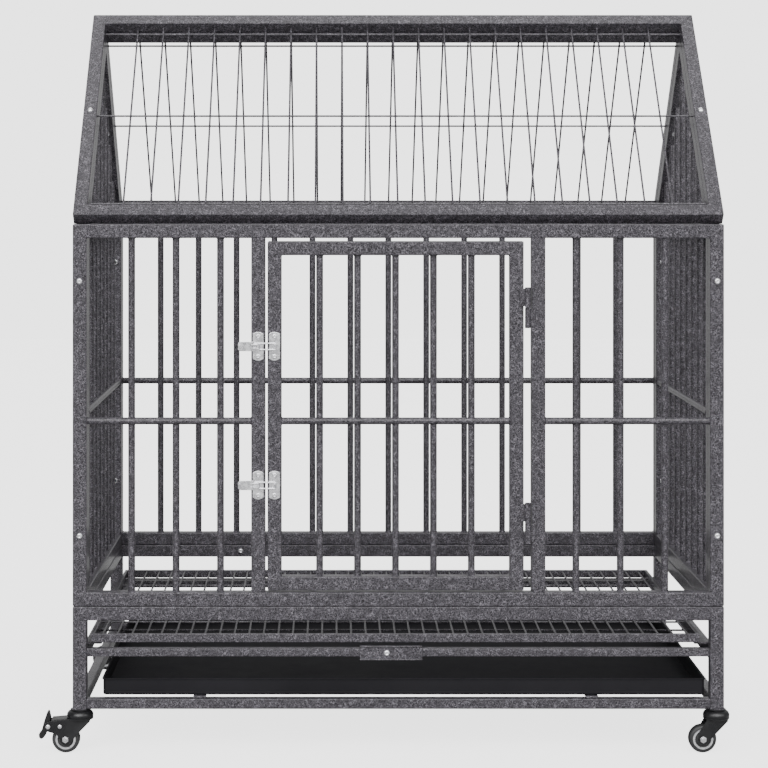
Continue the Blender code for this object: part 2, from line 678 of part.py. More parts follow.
# Roof panel: a leaning frame of square tube with thin wires up the slope. Its lower
# inner edge stands on the body, and the back panel's top rail lies under the front's.
def build_roof():
    lap = TUBE / math.tan(ROOF_LEAN) + CLEAR / math.sin(2 * ROOF_LEAN)
    bolt_up = roof_slope / 2
    for name, side, slope in (("roof_front_panel", -1, roof_slope), ("roof_back_panel", 1, roof_slope - lap)):
        y = side * (DEPTH / 2 - TUBE / 2 * lean_cos)
        spot = (0.0, y, roof_foot - TUBE / 2 * lean_sin)
        turn = (-ROOF_LEAN, 0.0, 0.0 if side < 0 else math.pi)
        loops = [rectangle(-WIDTH / 2, 0.0, WIDTH / 2, slope),
                 rectangle(-inner_x, TUBE, inner_x, slope - TUBE)]
        node = add_node(name, outline_mesh(name, loops, TUBE), vein_paint, spot, turn)
        low = TUBE - WELD
        high = slope - TUBE + WELD
        wires = [((x, 0.0, low), (x, 0.0, high)) for x in evenly(ROOF_WIRES, ROOF_PITCH)]
        behind = ROOF_WIRE + CLEAR
        reach = inner_x + WELD
        crosses = [((-reach, behind, z), (reach, behind, z))
                   for z in (TUBE + ROOF_CROSS_INSET, slope / 2, slope - TUBE - ROOF_CROSS_INSET)]
        combine(node, rods_mesh(name + "_wires", wires, ROOF_WIRE, WIRE_SIDES), "UNION")
        combine(node, rods_mesh(name + "_cross_wires", crosses, ROOF_WIRE, WIRE_SIDES), "UNION")
        lines = [((x, -TUBE, bolt_up), (x, TUBE, bolt_up)) for x in (-post_x, post_x)]
        combine(node, rods_mesh(name + "_holes", lines, BOLT + 4 * CLEAR, BOLT_SIDES), "DIFFERENCE")

    # Gable ends: triangles of tube under the panels' side rails
    height = ridge_height - (TUBE + CLEAR) / lean_sin - body_top - CLEAR
    half = height * math.tan(ROOF_LEAN)
    inner_height = height - TUBE / lean_sin
    inner_half = (inner_height - TUBE) * math.tan(ROOF_LEAN)
    outer = [(-half, 0.0), (half, 0.0), (0.0, height)]
    hole = [(-inner_half, TUBE), (inner_half, TUBE), (0.0, inner_height)]
    side_pitch = (side_width - 2 * TUBE) / (SIDE_BARS + 1)
    uprights = [(x, TUBE - WELD, inner_height - abs(x) / math.tan(ROOF_LEAN) + BAR)
                for x in evenly(SIDE_BARS, side_pitch)]
    for name, side in (("gable_left", -1), ("gable_right", 1)):
        node = barred_frame(name, [outer, hole], uprights, [],
                            (side * post_x, 0.0, body_top + CLEAR), (0.0, 0.0, side * math.pi / 2))
        lines = []
        for end in (-1, 1):
            mouth = Vector((end * (DEPTH / 2 - bolt_up * lean_sin), 0.0,
                            roof_foot + bolt_up * lean_cos - body_top - CLEAR))
            inward = Vector((-end * lean_cos, 0.0, -lean_sin))
            lines.append((mouth, mouth + inward * 3 * TUBE))
        combine(node, rods_mesh(name + "_holes", lines, BOLT + 4 * CLEAR, BOLT_SIDES), "DIFFERENCE")

    bolt = bolt_mesh("roof_bolt", 2 * TUBE + CLEAR)
    for where, side in (("front", -1), ("back", 1)):
        y = side * (DEPTH / 2 - bolt_up * lean_sin)
        tilt = -side * (math.pi / 2 - ROOF_LEAN)
        for across, x in (("left", -post_x), ("right", post_x)):
            add_node("_".join(("bolt_roof", where, across)), bolt, bright_zinc,
                     (x, y, roof_foot + bolt_up * lean_cos), (tilt, 0.0, 0.0))


# Fork cheek outline about the swivel axis, at axle height. The wheel trails to -X.
def cheek_outline(braked):
    top = CASTER_HEIGHT - SEAT_WALL - DOME_HEIGHT - axle_height + WELD
    boss = arc((-TRAIL, 0.0), 0.0075, -35, -185, 6)
    right = [(-0.014, top), (0.014, top), (0.012, top - 0.008)]
    if not braked:
        return right + boss + [(-0.0255, 0.010)]
    reach = [(-0.033, 0.008), (-0.050, 0.0130), (-0.0505, 0.0225), (-0.043, 0.0262), (-0.020, top)]
    return right + boss + reach


def build_caster(name, x, y):
    braked = name in BRAKED
    top = CASTER_HEIGHT - axle_height
    dome_top = top - SEAT_WALL - CLEAR
    dome_low = dome_top - DOME_HEIGHT + CLEAR
    pin = KINGPIN / 2

    seat = turned_mesh("caster_seat", [
        (0.0, top), (DOME * 0.36, top), (DOME * 0.36, top - SEAT_WALL), (pin, top - SEAT_WALL),
        (pin, dome_low - CLEAR), (KINGPIN * 0.8, dome_low - CLEAR),
        (KINGPIN * 0.6, dome_low - 0.0025), (0.0, dome_low - 0.0025)], 12)
    add_node("caster_stem_" + name, seat, bright_zinc, (x, y, axle_height))

    bore = pin + CLEAR
    dome = turned_mesh("caster_dome", [
        (bore, dome_top), (DOME * 0.34, dome_top), (DOME * 0.44, dome_top - 0.0025),
        (DOME / 2, dome_low + 0.0035), (DOME / 2, dome_low), (bore, dome_low)], 16, closed=True)
    fork = add_node("caster_fork_" + name, dome, caster_black, (x, y, axle_height))
    cheek_y = WHEEL_WIDTH / 2 + CHEEK_GAP + CHEEK_WALL / 2
    outline = outline_mesh("cheek", [cheek_outline(braked)], CHEEK_WALL)
    cheeks = copies_mesh("cheeks", outline, [Matrix.Translation((0.0, side * cheek_y, 0.0)) for side in (-1, 1)])
    combine(fork, cheeks, "UNION")
    far = cheek_y + CHEEK_WALL
    holes = [((-TRAIL, -far, 0.0), (-TRAIL, far, 0.0))]
    combine(fork, rods_mesh("axle_hole", holes, AXLE + 2 * CLEAR, 8), "DIFFERENCE")

    # The wheel has a flat of its rim on the floor.
    half = WHEEL_WIDTH / 2
    rim = WHEEL / 2
    hub = AXLE / 2 + CLEAR
    half_profile = [(hub, half), (HUB_RING_INNER, half), (HUB_RING_INNER, half + HUB_RING_RISE),
                    (HUB_RING_OUTER, half + HUB_RING_RISE), (rim - 0.003, half), (rim, half - 0.0025)]
    profile = half_profile + [(r, -h) for r, h in reversed(half_profile)]
    lay = Matrix.Rotation(math.pi / 2, 4, "X") @ Matrix.Rotation(math.pi / WHEEL_SIDES, 4, "Z")
    wheel = turned_mesh("caster_wheel", profile, WHEEL_SIDES, closed=True, place=lay)
    add_node("caster_wheel_" + name, wheel, tyre_rubber, (-TRAIL, 0.0, 0.0), parent=fork)

    outside = cheek_y + CHEEK_WALL / 2 + CLEAR
    nut = AXLE_NUT / 2
    axle = turned_mesh("caster_axle", [
        (0.0, outside + 0.0035), (nut * 0.8, outside + 0.0035), (nut, outside + 0.0025), (nut, outside),
        (AXLE / 2, outside), (AXLE / 2, -outside), (nut, -outside), (nut, -outside - 0.0035),
        (0.0, -outside - 0.0035)], 6, place=Matrix.Rotation(math.pi / 2, 4, "X"))
    add_node("caster_axle_" + name, axle, bright_zinc, (-TRAIL, 0.0, 0.0), parent=fork)

    if braked:
        build_brake(name, fork, cheek_y)


def build_brake(name, fork, cheek_y):
    inner = cheek_y - CHEEK_WALL / 2
    outer = cheek_y + CHEEK_WALL / 2
    pivot_x, pivot_z = BRAKE_PIVOT
    rivet_x, rivet_z = BRAKE_RIVET
    cover = [(-0.020, 0.0262), (-0.020, 0.0290), (-0.042, 0.0282), (-0.042, 0.0254)]
    combine(fork, outline_mesh("brake_cover", [cover], 2 * inner + CHEEK_WALL), "UNION")
    heads = [((rivet_x, side * (inner + CLEAR), rivet_z), (rivet_x, side * (outer + 0.0012), rivet_z))
             for side in (-1, 1)]
    combine(fork, rods_mesh("brake_rivet", heads, 0.006, 8), "UNION")
    hole = [((pivot_x, -outer - WELD, pivot_z), (pivot_x, outer + WELD, pivot_z))]
    combine(fork, rods_mesh("brake_hole", hole, 0.005 + 2 * CLEAR, 8), "DIFFERENCE")

    lever = [(-0.0035, 0.0204), (0.0015, 0.0204), (0.0030, 0.0), (0.0070, -0.0076), (0.0044, -0.0098),
             (-0.0010, -0.0050), (-0.0085, -0.0186), (-0.0135, -0.0186), (-0.0050, 0.0020)]
    node = add_node("brake_lever_" + name, outline_mesh("brake_lever", [lever], 2 * (inner - CHEEK_GAP)),
                    caster_black, (pivot_x, 0.0, pivot_z), parent=fork)
    pin = turned_mesh("brake_pin", [
        (0.0, outer + 0.0016), (0.0034, outer + 0.0016), (0.0040, outer + CLEAR), (0.0025, outer + CLEAR),
        (0.0025, -outer - CLEAR), (0.0040, -outer - CLEAR), (0.0034, -outer - 0.0016),
        (0.0, -outer - 0.0016)], 8, place=Matrix.Rotation(math.pi / 2, 4, "X"))
    combine(node, pin, "UNION")


# The model's origin is the middle of its footprint, and the brake pedals and latches
# reach past the frames, so the whole is moved by its measured bounds.
def centre_on_footprint():
    bpy.context.view_layer.update()
    graph = bpy.context.evaluated_depsgraph_get()
    corners = []
    for node in cage.objects:
        if node.type == "MESH":
            shown = node.evaluated_get(graph)
            corners += [shown.matrix_world @ Vector(corner) for corner in shown.bound_box]
    for axis in (0, 1):
        values = [corner[axis] for corner in corners]
        root.location[axis] -= (min(values) + max(values)) / 2
    bpy.context.view_layer.update()


build_base()
build_straps()
build_grate()
build_tray()
build_stop()
build_body()
door_axis = build_door()
for latch_name, latch_height in LATCH_HEIGHTS.items():
    build_latch(latch_name, latch_height, door_axis)
build_roof()
for caster_x, across in ((-post_x, "left"), (post_x, "right")):
    for caster_y, along in ((-post_y, "front"), (post_y, "back")):
        build_caster(along + "_" + across, caster_x, caster_y)
centre_on_footprint()
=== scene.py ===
import json
import math

import bmesh
import bpy
from mathutils import Matrix, Vector


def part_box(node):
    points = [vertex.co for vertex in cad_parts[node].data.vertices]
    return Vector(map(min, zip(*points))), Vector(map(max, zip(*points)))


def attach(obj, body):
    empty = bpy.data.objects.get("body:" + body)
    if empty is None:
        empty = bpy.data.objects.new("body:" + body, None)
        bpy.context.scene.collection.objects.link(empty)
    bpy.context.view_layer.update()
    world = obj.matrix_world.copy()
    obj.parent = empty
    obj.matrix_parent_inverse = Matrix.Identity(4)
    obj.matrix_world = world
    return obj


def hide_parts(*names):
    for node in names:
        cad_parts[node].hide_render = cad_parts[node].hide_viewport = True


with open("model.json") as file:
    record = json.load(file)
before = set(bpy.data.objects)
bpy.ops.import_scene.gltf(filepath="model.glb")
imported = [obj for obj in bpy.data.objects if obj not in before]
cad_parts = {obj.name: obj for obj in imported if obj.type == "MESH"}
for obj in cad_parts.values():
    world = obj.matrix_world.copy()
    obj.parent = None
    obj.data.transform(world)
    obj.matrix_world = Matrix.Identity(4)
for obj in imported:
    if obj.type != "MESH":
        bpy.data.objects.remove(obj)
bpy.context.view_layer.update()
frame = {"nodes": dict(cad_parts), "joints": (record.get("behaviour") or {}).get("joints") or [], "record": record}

stock = {
    "tube": 0.020, "corner": 0.0018, "bar": 0.010, "barSides": 16, "railOut": 0.0045,
    "sink": 0.002, "seat": 0.0003, "sheetRound": 0.0006, "bevelSteps": 2, "smoothTo": 38.0}

jointPlaces = {joint["name"]: Vector(joint["pos_m"]) for joint in frame["joints"] if "pos_m" in joint}


def evenly(count, pitch):
    return [(i - (count - 1) / 2) * pitch for i in range(count)]


def rectangle(half, low, high):
    return [(-half, low), (half, low), (half, high), (-half, high)]


# Shader groups
def makeGroup(name, inputs, outputs):
    group = bpy.data.node_groups.new(name, "ShaderNodeTree")
    for label, kind, value in inputs:
        socket = group.interface.new_socket(label, in_out="INPUT", socket_type=kind)
        if value is not None:
            socket.default_value = value
    for label, kind in outputs:
        group.interface.new_socket(label, in_out="OUTPUT", socket_type=kind)
    group.nodes.new("NodeGroupInput").name = "in"
    group.nodes.new("NodeGroupOutput").name = "out"
    return group


def addNode(tree, kind, settings=None, **links):
    node = tree.nodes.new(kind)
    for key, value in (settings or {}).items():
        if hasattr(node, key):
            setattr(node, key, value)
        else:
            node.inputs[key].default_value = value
    for key, source in links.items():
        tree.links.new(source, node.inputs[key.replace("_", " ")])
    return node


def makeRamp(tree, factor, stops):
    ramp = addNode(tree, "ShaderNodeValToRGB", Fac=factor)
    elements = ramp.color_ramp.elements
    while len(elements) < len(stops):
        elements.new(0.5)
    for element, (place, value) in zip(elements, stops):
        element.position = place
        element.color = (value, value, value, 1.0)
    return ramp.outputs["Color"]


def addMath(tree, operation, first, second=None):
    node = addNode(tree, "ShaderNodeMath", {"operation": operation})
    for socket, value in zip(node.inputs, (first, second)):
        if isinstance(value, float):
            socket.default_value = value
        elif value is not None:
            tree.links.new(value, socket)
    return node.outputs[0]


# Vein coat: thin pale veins that wander over a dark ground with pits in it, as such paint dries
def makeVeinGroup():
    group = makeGroup("veinCoat", [
        ("Vector", "NodeSocketVector", None), ("Scale", "NodeSocketFloat", 300.0)],
        [("Vein", "NodeSocketFloat"), ("Pit", "NodeSocketFloat"), ("Height", "NodeSocketFloat")])
    source = group.nodes["in"].outputs
    result = group.nodes["out"].inputs
    wander = addNode(group, "ShaderNodeTexNoise", {"Detail": 1.0, "Roughness": 0.4, "Distortion": 0.7},
                     Vector=source["Vector"], Scale=source["Scale"])
    away = addMath(group, "ABSOLUTE", addMath(group, "SUBTRACT", wander.outputs["Fac"], 0.5))
    line = makeRamp(group, away, [(0.0, 1.0), (0.022, 0.75), (0.060, 0.0)])
    patches = addNode(group, "ShaderNodeTexNoise", {"Scale": 120.0, "Detail": 2.0}, Vector=source["Vector"])
    gate = makeRamp(group, patches.outputs["Fac"], [(0.40, 0.45), (0.58, 1.0)])
    vein = addMath(group, "MULTIPLY", line, gate)
    grain = addNode(group, "ShaderNodeTexNoise", {"Scale": 420.0, "Detail": 3.0, "Roughness": 0.6},
                    Vector=source["Vector"])
    pit = makeRamp(group, grain.outputs["Fac"], [(0.50, 0.0), (0.64, 1.0)])
    group.links.new(vein, result["Vein"])
    group.links.new(pit, result["Pit"])
    group.links.new(addMath(group, "SUBTRACT", vein, addMath(group, "MULTIPLY", pit, 0.4)), result["Height"])
    return group


# Handling: broad smudges that change gloss and colour
def makeHandlingGroup():
    group = makeGroup("handling", [
        ("Vector", "NodeSocketVector", None), ("Scale", "NodeSocketFloat", 12.0),
        ("Amount", "NodeSocketFloat", 0.5)], [("Smudge", "NodeSocketFloat")])
    source = group.nodes["in"].outputs
    cloud = addNode(group, "ShaderNodeTexNoise", {"Detail": 4.0, "Roughness": 0.6},
                    Vector=source["Vector"], Scale=source["Scale"])
    smudge = makeRamp(group, cloud.outputs["Fac"], [(0.35, 0.0), (0.65, 1.0)])
    scaled = addMath(group, "MULTIPLY", smudge, source["Amount"])
    group.links.new(scaled, group.nodes["out"].inputs["Smudge"])
    return group


veinGroup = makeVeinGroup()
handlingGroup = makeHandlingGroup()


def startMaterial(name, **sockets):
    material = bpy.data.materials.new(name)
    material.use_nodes = True
    shader = material.node_tree.nodes["Principled BSDF"]
    for label, value in sockets.items():
        shader.inputs[label.replace("_", " ")].default_value = value
    place = material.node_tree.nodes.new("ShaderNodeTexCoord").outputs["Object"]
    return material, material.node_tree, shader, place


def mixColours(tree, factor, first, second):
    mix = tree.nodes.new("ShaderNodeMix")
    mix.data_type = "RGBA"
    tree.links.new(factor, mix.inputs["Factor"])
    for socket, value in ((mix.inputs[6], first), (mix.inputs[7], second)):
        if isinstance(value, tuple):
            socket.default_value = (*value, 1.0)
        else:
            tree.links.new(value, socket)
    return mix.outputs[2]


def mixValues(tree, factor, first, second):
    ends = {"To Min": first, "To Max": second}
    return addNode(tree, "ShaderNodeMapRange", ends, Value=factor).outputs["Result"]


def addBump(tree, shader, height, strength, distance):
    bump = addNode(tree, "ShaderNodeBump", {"Strength": strength, "Distance": distance}, Height=height)
    tree.links.new(bump.outputs["Normal"], shader.inputs["Normal"])


def placeGroup(tree, group, place, **values):
    node = tree.nodes.new("ShaderNodeGroup")
    node.node_tree = group
    tree.links.new(place, node.inputs["Vector"])
    for label, value in values.items():
        node.inputs[label].default_value = value
    return node.outputs


paintLook = {
    "ground": (0.034, 0.031, 0.037), "vein": (0.200, 0.188, 0.214), "pit": (0.006, 0.0055, 0.007),
    "veinScale": 370.0, "bump": 0.6, "depth": 0.0003, "wornScale": 9.0}


def makePaint():
    material, tree, shader, place = startMaterial("veinPaint", Metallic=0.1, Coat_Weight=0.35,
                                                  Coat_Roughness=0.16, Specular_IOR_Level=0.25)
    coat = placeGroup(tree, veinGroup, place, Scale=paintLook["veinScale"])
    worn = placeGroup(tree, handlingGroup, place, Scale=paintLook["wornScale"], Amount=0.5)
    pitted = mixColours(tree, coat["Pit"], paintLook["ground"], paintLook["pit"])
    veined = mixColours(tree, coat["Vein"], pitted, paintLook["vein"])
    tree.links.new(veined, shader.inputs["Base Color"])
    tree.links.new(mixValues(tree, worn["Smudge"], 0.34, 0.46), shader.inputs["Roughness"])
    addBump(tree, shader, coat["Height"], paintLook["bump"], paintLook["depth"])
    return material


def makePlain(name, dark, light, rough, metal, scale, bump, **sockets):
    material, tree, shader, place = startMaterial(name, Metallic=metal, **sockets)
    worn = placeGroup(tree, handlingGroup, place, Scale=scale, Amount=1.0)
    tree.links.new(mixColours(tree, worn["Smudge"], dark, light), shader.inputs["Base Color"])
    tree.links.new(mixValues(tree, worn["Smudge"], rough[0], rough[1]), shader.inputs["Roughness"])
    grain = addNode(tree, "ShaderNodeTexNoise", {"Scale": bump[0], "Detail": 3.0}, Vector=place)
    addBump(tree, shader, grain.outputs["Fac"], bump[1], bump[2])
    return material


slotLooks = {
    "vein_paint": makePaint(),
    "tray_black": makePlain(
        "trayPlastic", (0.010, 0.0097, 0.0115), (0.015, 0.0145, 0.017), (0.60, 0.74), 0.0, 6.0,
        (1400.0, 0.25, 0.0003), Specular_IOR_Level=0.10),
    "bright_zinc": makePlain(
        "brightZinc", (0.78, 0.78, 0.81), (0.92, 0.92, 0.94), (0.20, 0.36), 1.0, 160.0,
        (700.0, 0.16, 0.0003)),
    "caster_black": makePlain(
        "casterBlack", (0.005, 0.005, 0.006), (0.012, 0.012, 0.013), (0.24, 0.40), 0.1, 40.0,
        (1200.0, 0.15, 0.0002)),
    "tyre_rubber": makePlain(
        "tyreRubber", (0.014, 0.014, 0.015), (0.030, 0.030, 0.031), (0.50, 0.68), 0.0, 50.0,
        (1600.0, 0.35, 0.0003))}
print("materials ready")


# Building blocks
def appendTo(bm, other, place=None):
    if place is not None:
        bmesh.ops.transform(other, matrix=place, verts=other.verts)
    mesh = bpy.data.meshes.new("joining")
    other.to_mesh(mesh)
    other.free()
    bm.from_mesh(mesh)
    bpy.data.meshes.remove(mesh)


def bevelSharp(bm, width, steps, least=30.0, upright=False):
    edges = [edge for edge in bm.edges if len(edge.link_faces) == 2
             and math.degrees(edge.calc_face_angle(0.0)) > least]
    if upright:
        edges = [edge for edge in edges if abs(edge.verts[0].co.z - edge.verts[1].co.z) > width]
    bmesh.ops.bevel(bm, geom=edges, offset=width, offset_type="OFFSET", segments=steps, profile=0.5,
                    affect="EDGES", clamp_overlap=True, material=-1)


# A box with rounded edges; an upright one keeps its ends square, to stand against a tube
def addBlock(bm, low, high, corner, place=None, steps=2, upright=False):
    part = bmesh.new()
    low, high = Vector(low), Vector(high)
    size = Matrix.LocRotScale((low + high) / 2, None, high - low)
    bmesh.ops.create_cube(part, size=1.0, matrix=size)
    bevelSharp(part, corner, steps, upright=upright)
    appendTo(bm, part, place)


def addRod(bm, start, end, radius, sides, place=None, endRadius=None):
    part = bmesh.new()
    start, end = Vector(start), Vector(end)
    aim = (end - start).to_track_quat("Z", "Y").to_matrix().to_4x4()
    bmesh.ops.create_cone(part, cap_ends=True, segments=sides, radius1=radius,
                          radius2=radius if endRadius is None else endRadius,
                          depth=(end - start).length,
                          matrix=Matrix.Translation((start + end) / 2) @ aim)
    appendTo(bm, part, place)


def addHexNut(bm, radius, height, middle, corner, steps, place):
    part = bmesh.new()
    bmesh.ops.create_cone(part, cap_ends=True, segments=6, radius1=radius, radius2=radius, depth=height,
                          matrix=Matrix.Translation((0.0, 0.0, middle)))
    bevelSharp(part, corner, steps)
    appendTo(bm, part, place)


# Welds: a fillet at a bar's end, beads that overlap along a mitre, and a bead where a rail crosses a bar
weldLook = {"rise": 0.0016, "spread": 0.0014, "root": 0.0004, "taper": 0.98, "bead": 0.0017,
            "beadStep": 0.0019, "flat": 0.42, "cross": 0.0016, "crossOut": 0.0032, "crossSide": 0.75,
            "crossShape": (1.2, 0.8, 1.3, 1.0)}


def addWeldedBar(bm, start, end, place, welds=(True, True)):
    start, end = Vector(start), Vector(end)
    along = (end - start).normalized()
    radius, sides, sink = stock["bar"] / 2, stock["barSides"], stock["sink"]
    addRod(bm, start - along * sink, end + along * sink, radius, sides, place)
    for welded, root, inward in ((welds[0], start, along), (welds[1], end, -along)):
        if welded:
            addRod(bm, root - inward * weldLook["root"], root + inward * weldLook["rise"],
                   radius + weldLook["spread"], sides, place, endRadius=radius * weldLook["taper"])


# A mitred ring of square tube on a closed outline in the XZ plane
def addRing(bm, outline, width, depth, place, corner=None, welded=True):
    part = bmesh.new()
    verts = [part.verts.new((x, -depth / 2, z)) for x, z in outline]
    face = part.faces.new(verts)
    part.normal_update()
    bmesh.ops.inset_region(part, faces=[face], thickness=width, use_even_offset=True, use_boundary=True)
    bmesh.ops.delete(part, geom=[face], context="FACES")
    grown = bmesh.ops.extrude_face_region(part, geom=part.faces[:])
    moved = [item for item in grown["geom"] if isinstance(item, bmesh.types.BMVert)]
    bmesh.ops.translate(part, verts=moved, vec=(0.0, depth, 0.0))
    bmesh.ops.recalc_face_normals(part, faces=part.faces)
    bevelSharp(part, corner or stock["corner"], stock["bevelSteps"])
    appendTo(bm, part, place)
    if welded:
        for i, turn in enumerate(outline):
            before, after = Vector(outline[i - 1]), Vector(outline[(i + 1) % len(outline)])
            addMitreWeld(bm, Vector(turn), before, after, width, depth, place)


# The ground weld along a mitre stands just proud of the face and keeps clear of its two ends
def addMitreWeld(bm, turn, before, after, width, depth, place):
    toBefore, toAfter = (before - turn).normalized(), (after - turn).normalized()
    inward = (toBefore + toAfter).normalized()
    reach = width / math.sin(math.acos(max(-1.0, min(1.0, toBefore.dot(toAfter)))) / 2)
    count = int(reach / weldLook["beadStep"])
    flat = Matrix.Diagonal((1.0, weldLook["flat"], 1.0, 1.0))
    for i in range(2, count - 1):
        spot = turn + inward * reach * i / count
        part = bmesh.new()
        bmesh.ops.create_icosphere(part, subdivisions=2, radius=weldLook["bead"])
        lift = Matrix.Translation((spot.x, -depth / 2 + stock["seat"], spot.y))
        appendTo(bm, part, place @ lift @ flat)


def addSpin(bm, profile, steps, place=None, closed=False):
    part = bmesh.new()
    verts = [part.verts.new((radius, 0.0, height)) for radius, height in profile]
    edges = [part.edges.new((verts[i], verts[i + 1])) for i in range(len(verts) - 1)]
    if closed:
        edges.append(part.edges.new((verts[-1], verts[0])))
    bmesh.ops.spin(part, geom=verts + edges, cent=(0, 0, 0), axis=(0, 0, 1), dvec=(0, 0, 0),
                   angle=math.tau, steps=steps, use_merge=True)
    bmesh.ops.remove_doubles(part, verts=part.verts, dist=0.00001)
    bmesh.ops.recalc_face_normals(part, faces=part.faces)
    appendTo(bm, part, place)


def addPlate(bm, outline, thickness, corner, place=None):
    part = bmesh.new()
    verts = [part.verts.new((x, -thickness / 2, z)) for x, z in outline]
    face = part.faces.new(verts)
    grown = bmesh.ops.extrude_face_region(part, geom=[face])
    moved = [item for item in grown["geom"] if isinstance(item, bmesh.types.BMVert)]
    bmesh.ops.translate(part, verts=moved, vec=(0.0, thickness, 0.0))
    bmesh.ops.recalc_face_normals(part, faces=part.faces)
    bevelSharp(part, corner, 2, 50.0)
    appendTo(bm, part, place)


def arcPoints(centre, radius, first, last, steps):
    turns = [math.radians(first + (last - first) * i / steps) for i in range(steps + 1)]
    return [(centre[0] + radius * math.cos(a), centre[1] + radius * math.sin(a)) for a in turns]


def makePiece(bm, name, body, slot, nodes=()):
    mesh = bpy.data.meshes.new(name)
    bm.to_mesh(mesh)
    bm.free()
    mesh.shade_smooth()
    mesh.set_sharp_from_angle(angle=math.radians(stock["smoothTo"]))
    mesh.materials.append(slotLooks[slot])
    piece = bpy.data.objects.new(name, mesh)
    bpy.context.scene.collection.objects.link(piece)
    piece.modifiers.new("flatFaces", "WEIGHTED_NORMAL").keep_sharp = True
    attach(piece, body)
    if nodes:
        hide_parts(*nodes)
    return piece


# Base frame: ring, posts, rails and the angles that carry the grate
baseLook = {"bottomRail": 0.015, "midRail": 0.012, "midHeight": 0.0807, "angleLeg": 0.024,
            "angleWall": 0.003, "angleTop": 0.0932, "angleIn": 0.004, "strapRound": 0.0007}


def makeBase():
    low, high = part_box("base_frame")
    middle = (low + high) / 2
    tube, corner, half = stock["tube"], stock["corner"], stock["tube"] / 2
    halfX, halfY = (high.x - low.x) / 2, (high.y - low.y) / 2
    place = Matrix.Translation((middle.x, 0.0, low.z))
    lie = Matrix.Translation((middle.x, 0.0, high.z - half)) @ Matrix.Rotation(-math.pi / 2, 4, "X")
    bm = bmesh.new()
    addRing(bm, rectangle(halfX, -halfY, halfY), tube, tube, lie)
    postX, postY, postTop = halfX - half, halfY - half, high.z - low.z - tube + stock["seat"]
    rail, mid = baseLook["bottomRail"] / 2, baseLook["midRail"] / 2
    centre = baseLook["midHeight"]
    inX, inY = halfX - tube + stock["sink"], halfY - tube + stock["sink"]
    for x in (-postX, postX):
        for y in (-postY, postY):
            addBlock(bm, (x - half, y - half, 0.0), (x + half, y + half, postTop), corner, place,
                     upright=True)
        addBlock(bm, (x - rail, -inY, 0.0), (x + rail, inY, 2 * rail), corner, place)
    for y in (-postY, postY):
        addBlock(bm, (-inX, y - rail, 0.0), (inX, y + rail, 2 * rail), corner, place)
        addBlock(bm, (-inX, y - mid, centre - mid), (inX, y + mid, centre + mid), corner, place)
    top, leg, wall = baseLook["angleTop"], baseLook["angleLeg"], baseLook["angleWall"]
    for side in (-1, 1):
        outer = side * (halfX - tube + baseLook["angleIn"])
        for across, under, upper in ((leg, top - wall, top), (wall, top - leg, top - wall / 2)):
            left, right = sorted((outer, outer - side * across))
            addBlock(bm, (left, -inY, under), (right, inY, upper), stock["sheetRound"], place)
    makePiece(bm, "baseWelded", "cage", "vein_paint", ["base_frame"])
    for name in ("tray_support_left", "tray_support_right"):
        low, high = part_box(name)
        bm = bmesh.new()
        addBlock(bm, low, high, baseLook["strapRound"])
        makePiece(bm, name.replace("tray_support", "strap"), "cage", "vein_paint", [name])
    print("base ready")


# A standing panel: ring, extra posts, bars and rails, built flat and put in place
def makePanel(name, node, body, place, width, height, bars, rails, posts=(), out=-1):
    tube, half, seat = stock["tube"], stock["tube"] / 2, stock["seat"]
    offset, top = out * stock["railOut"], height - tube
    bm = bmesh.new()
    addRing(bm, rectangle(width / 2, 0.0, height), tube, tube, place)
    for x in posts:
        addBlock(bm, (x - half, -half, tube - seat), (x + half, half, top + seat), stock["corner"], place,
                 upright=True)
    for x in bars:
        addWeldedBar(bm, (x, 0.0, tube), (x, 0.0, top), place)
    for left, right, z in rails:
        addWeldedBar(bm, (left, offset, z), (right, offset, z), place)
        for x in bars:
            if left < x < right:
                addCrossWeld(bm, x, z, place, out)
    makePiece(bm, name, body, "vein_paint", [node])


# A small bead in each lower corner where a rail crosses a bar
def addCrossWeld(bm, x, z, place, out):
    reach = stock["bar"] / 2 * weldLook["crossSide"]
    for side in (-1, 1):
        part = bmesh.new()
        bmesh.ops.create_icosphere(part, subdivisions=1, radius=weldLook["cross"])
        spot = Vector((x + side * reach, out * weldLook["crossOut"], z - reach))
        appendTo(bm, part, place @ Matrix.Translation(spot) @ Matrix.Diagonal(weldLook["crossShape"]))


bodyLook = {"frontBays": 14, "doorway": 0.380, "frontRail": 0.2642, "sideRail": 0.2732, "sideBars": 8,
            "doorBars": 5}


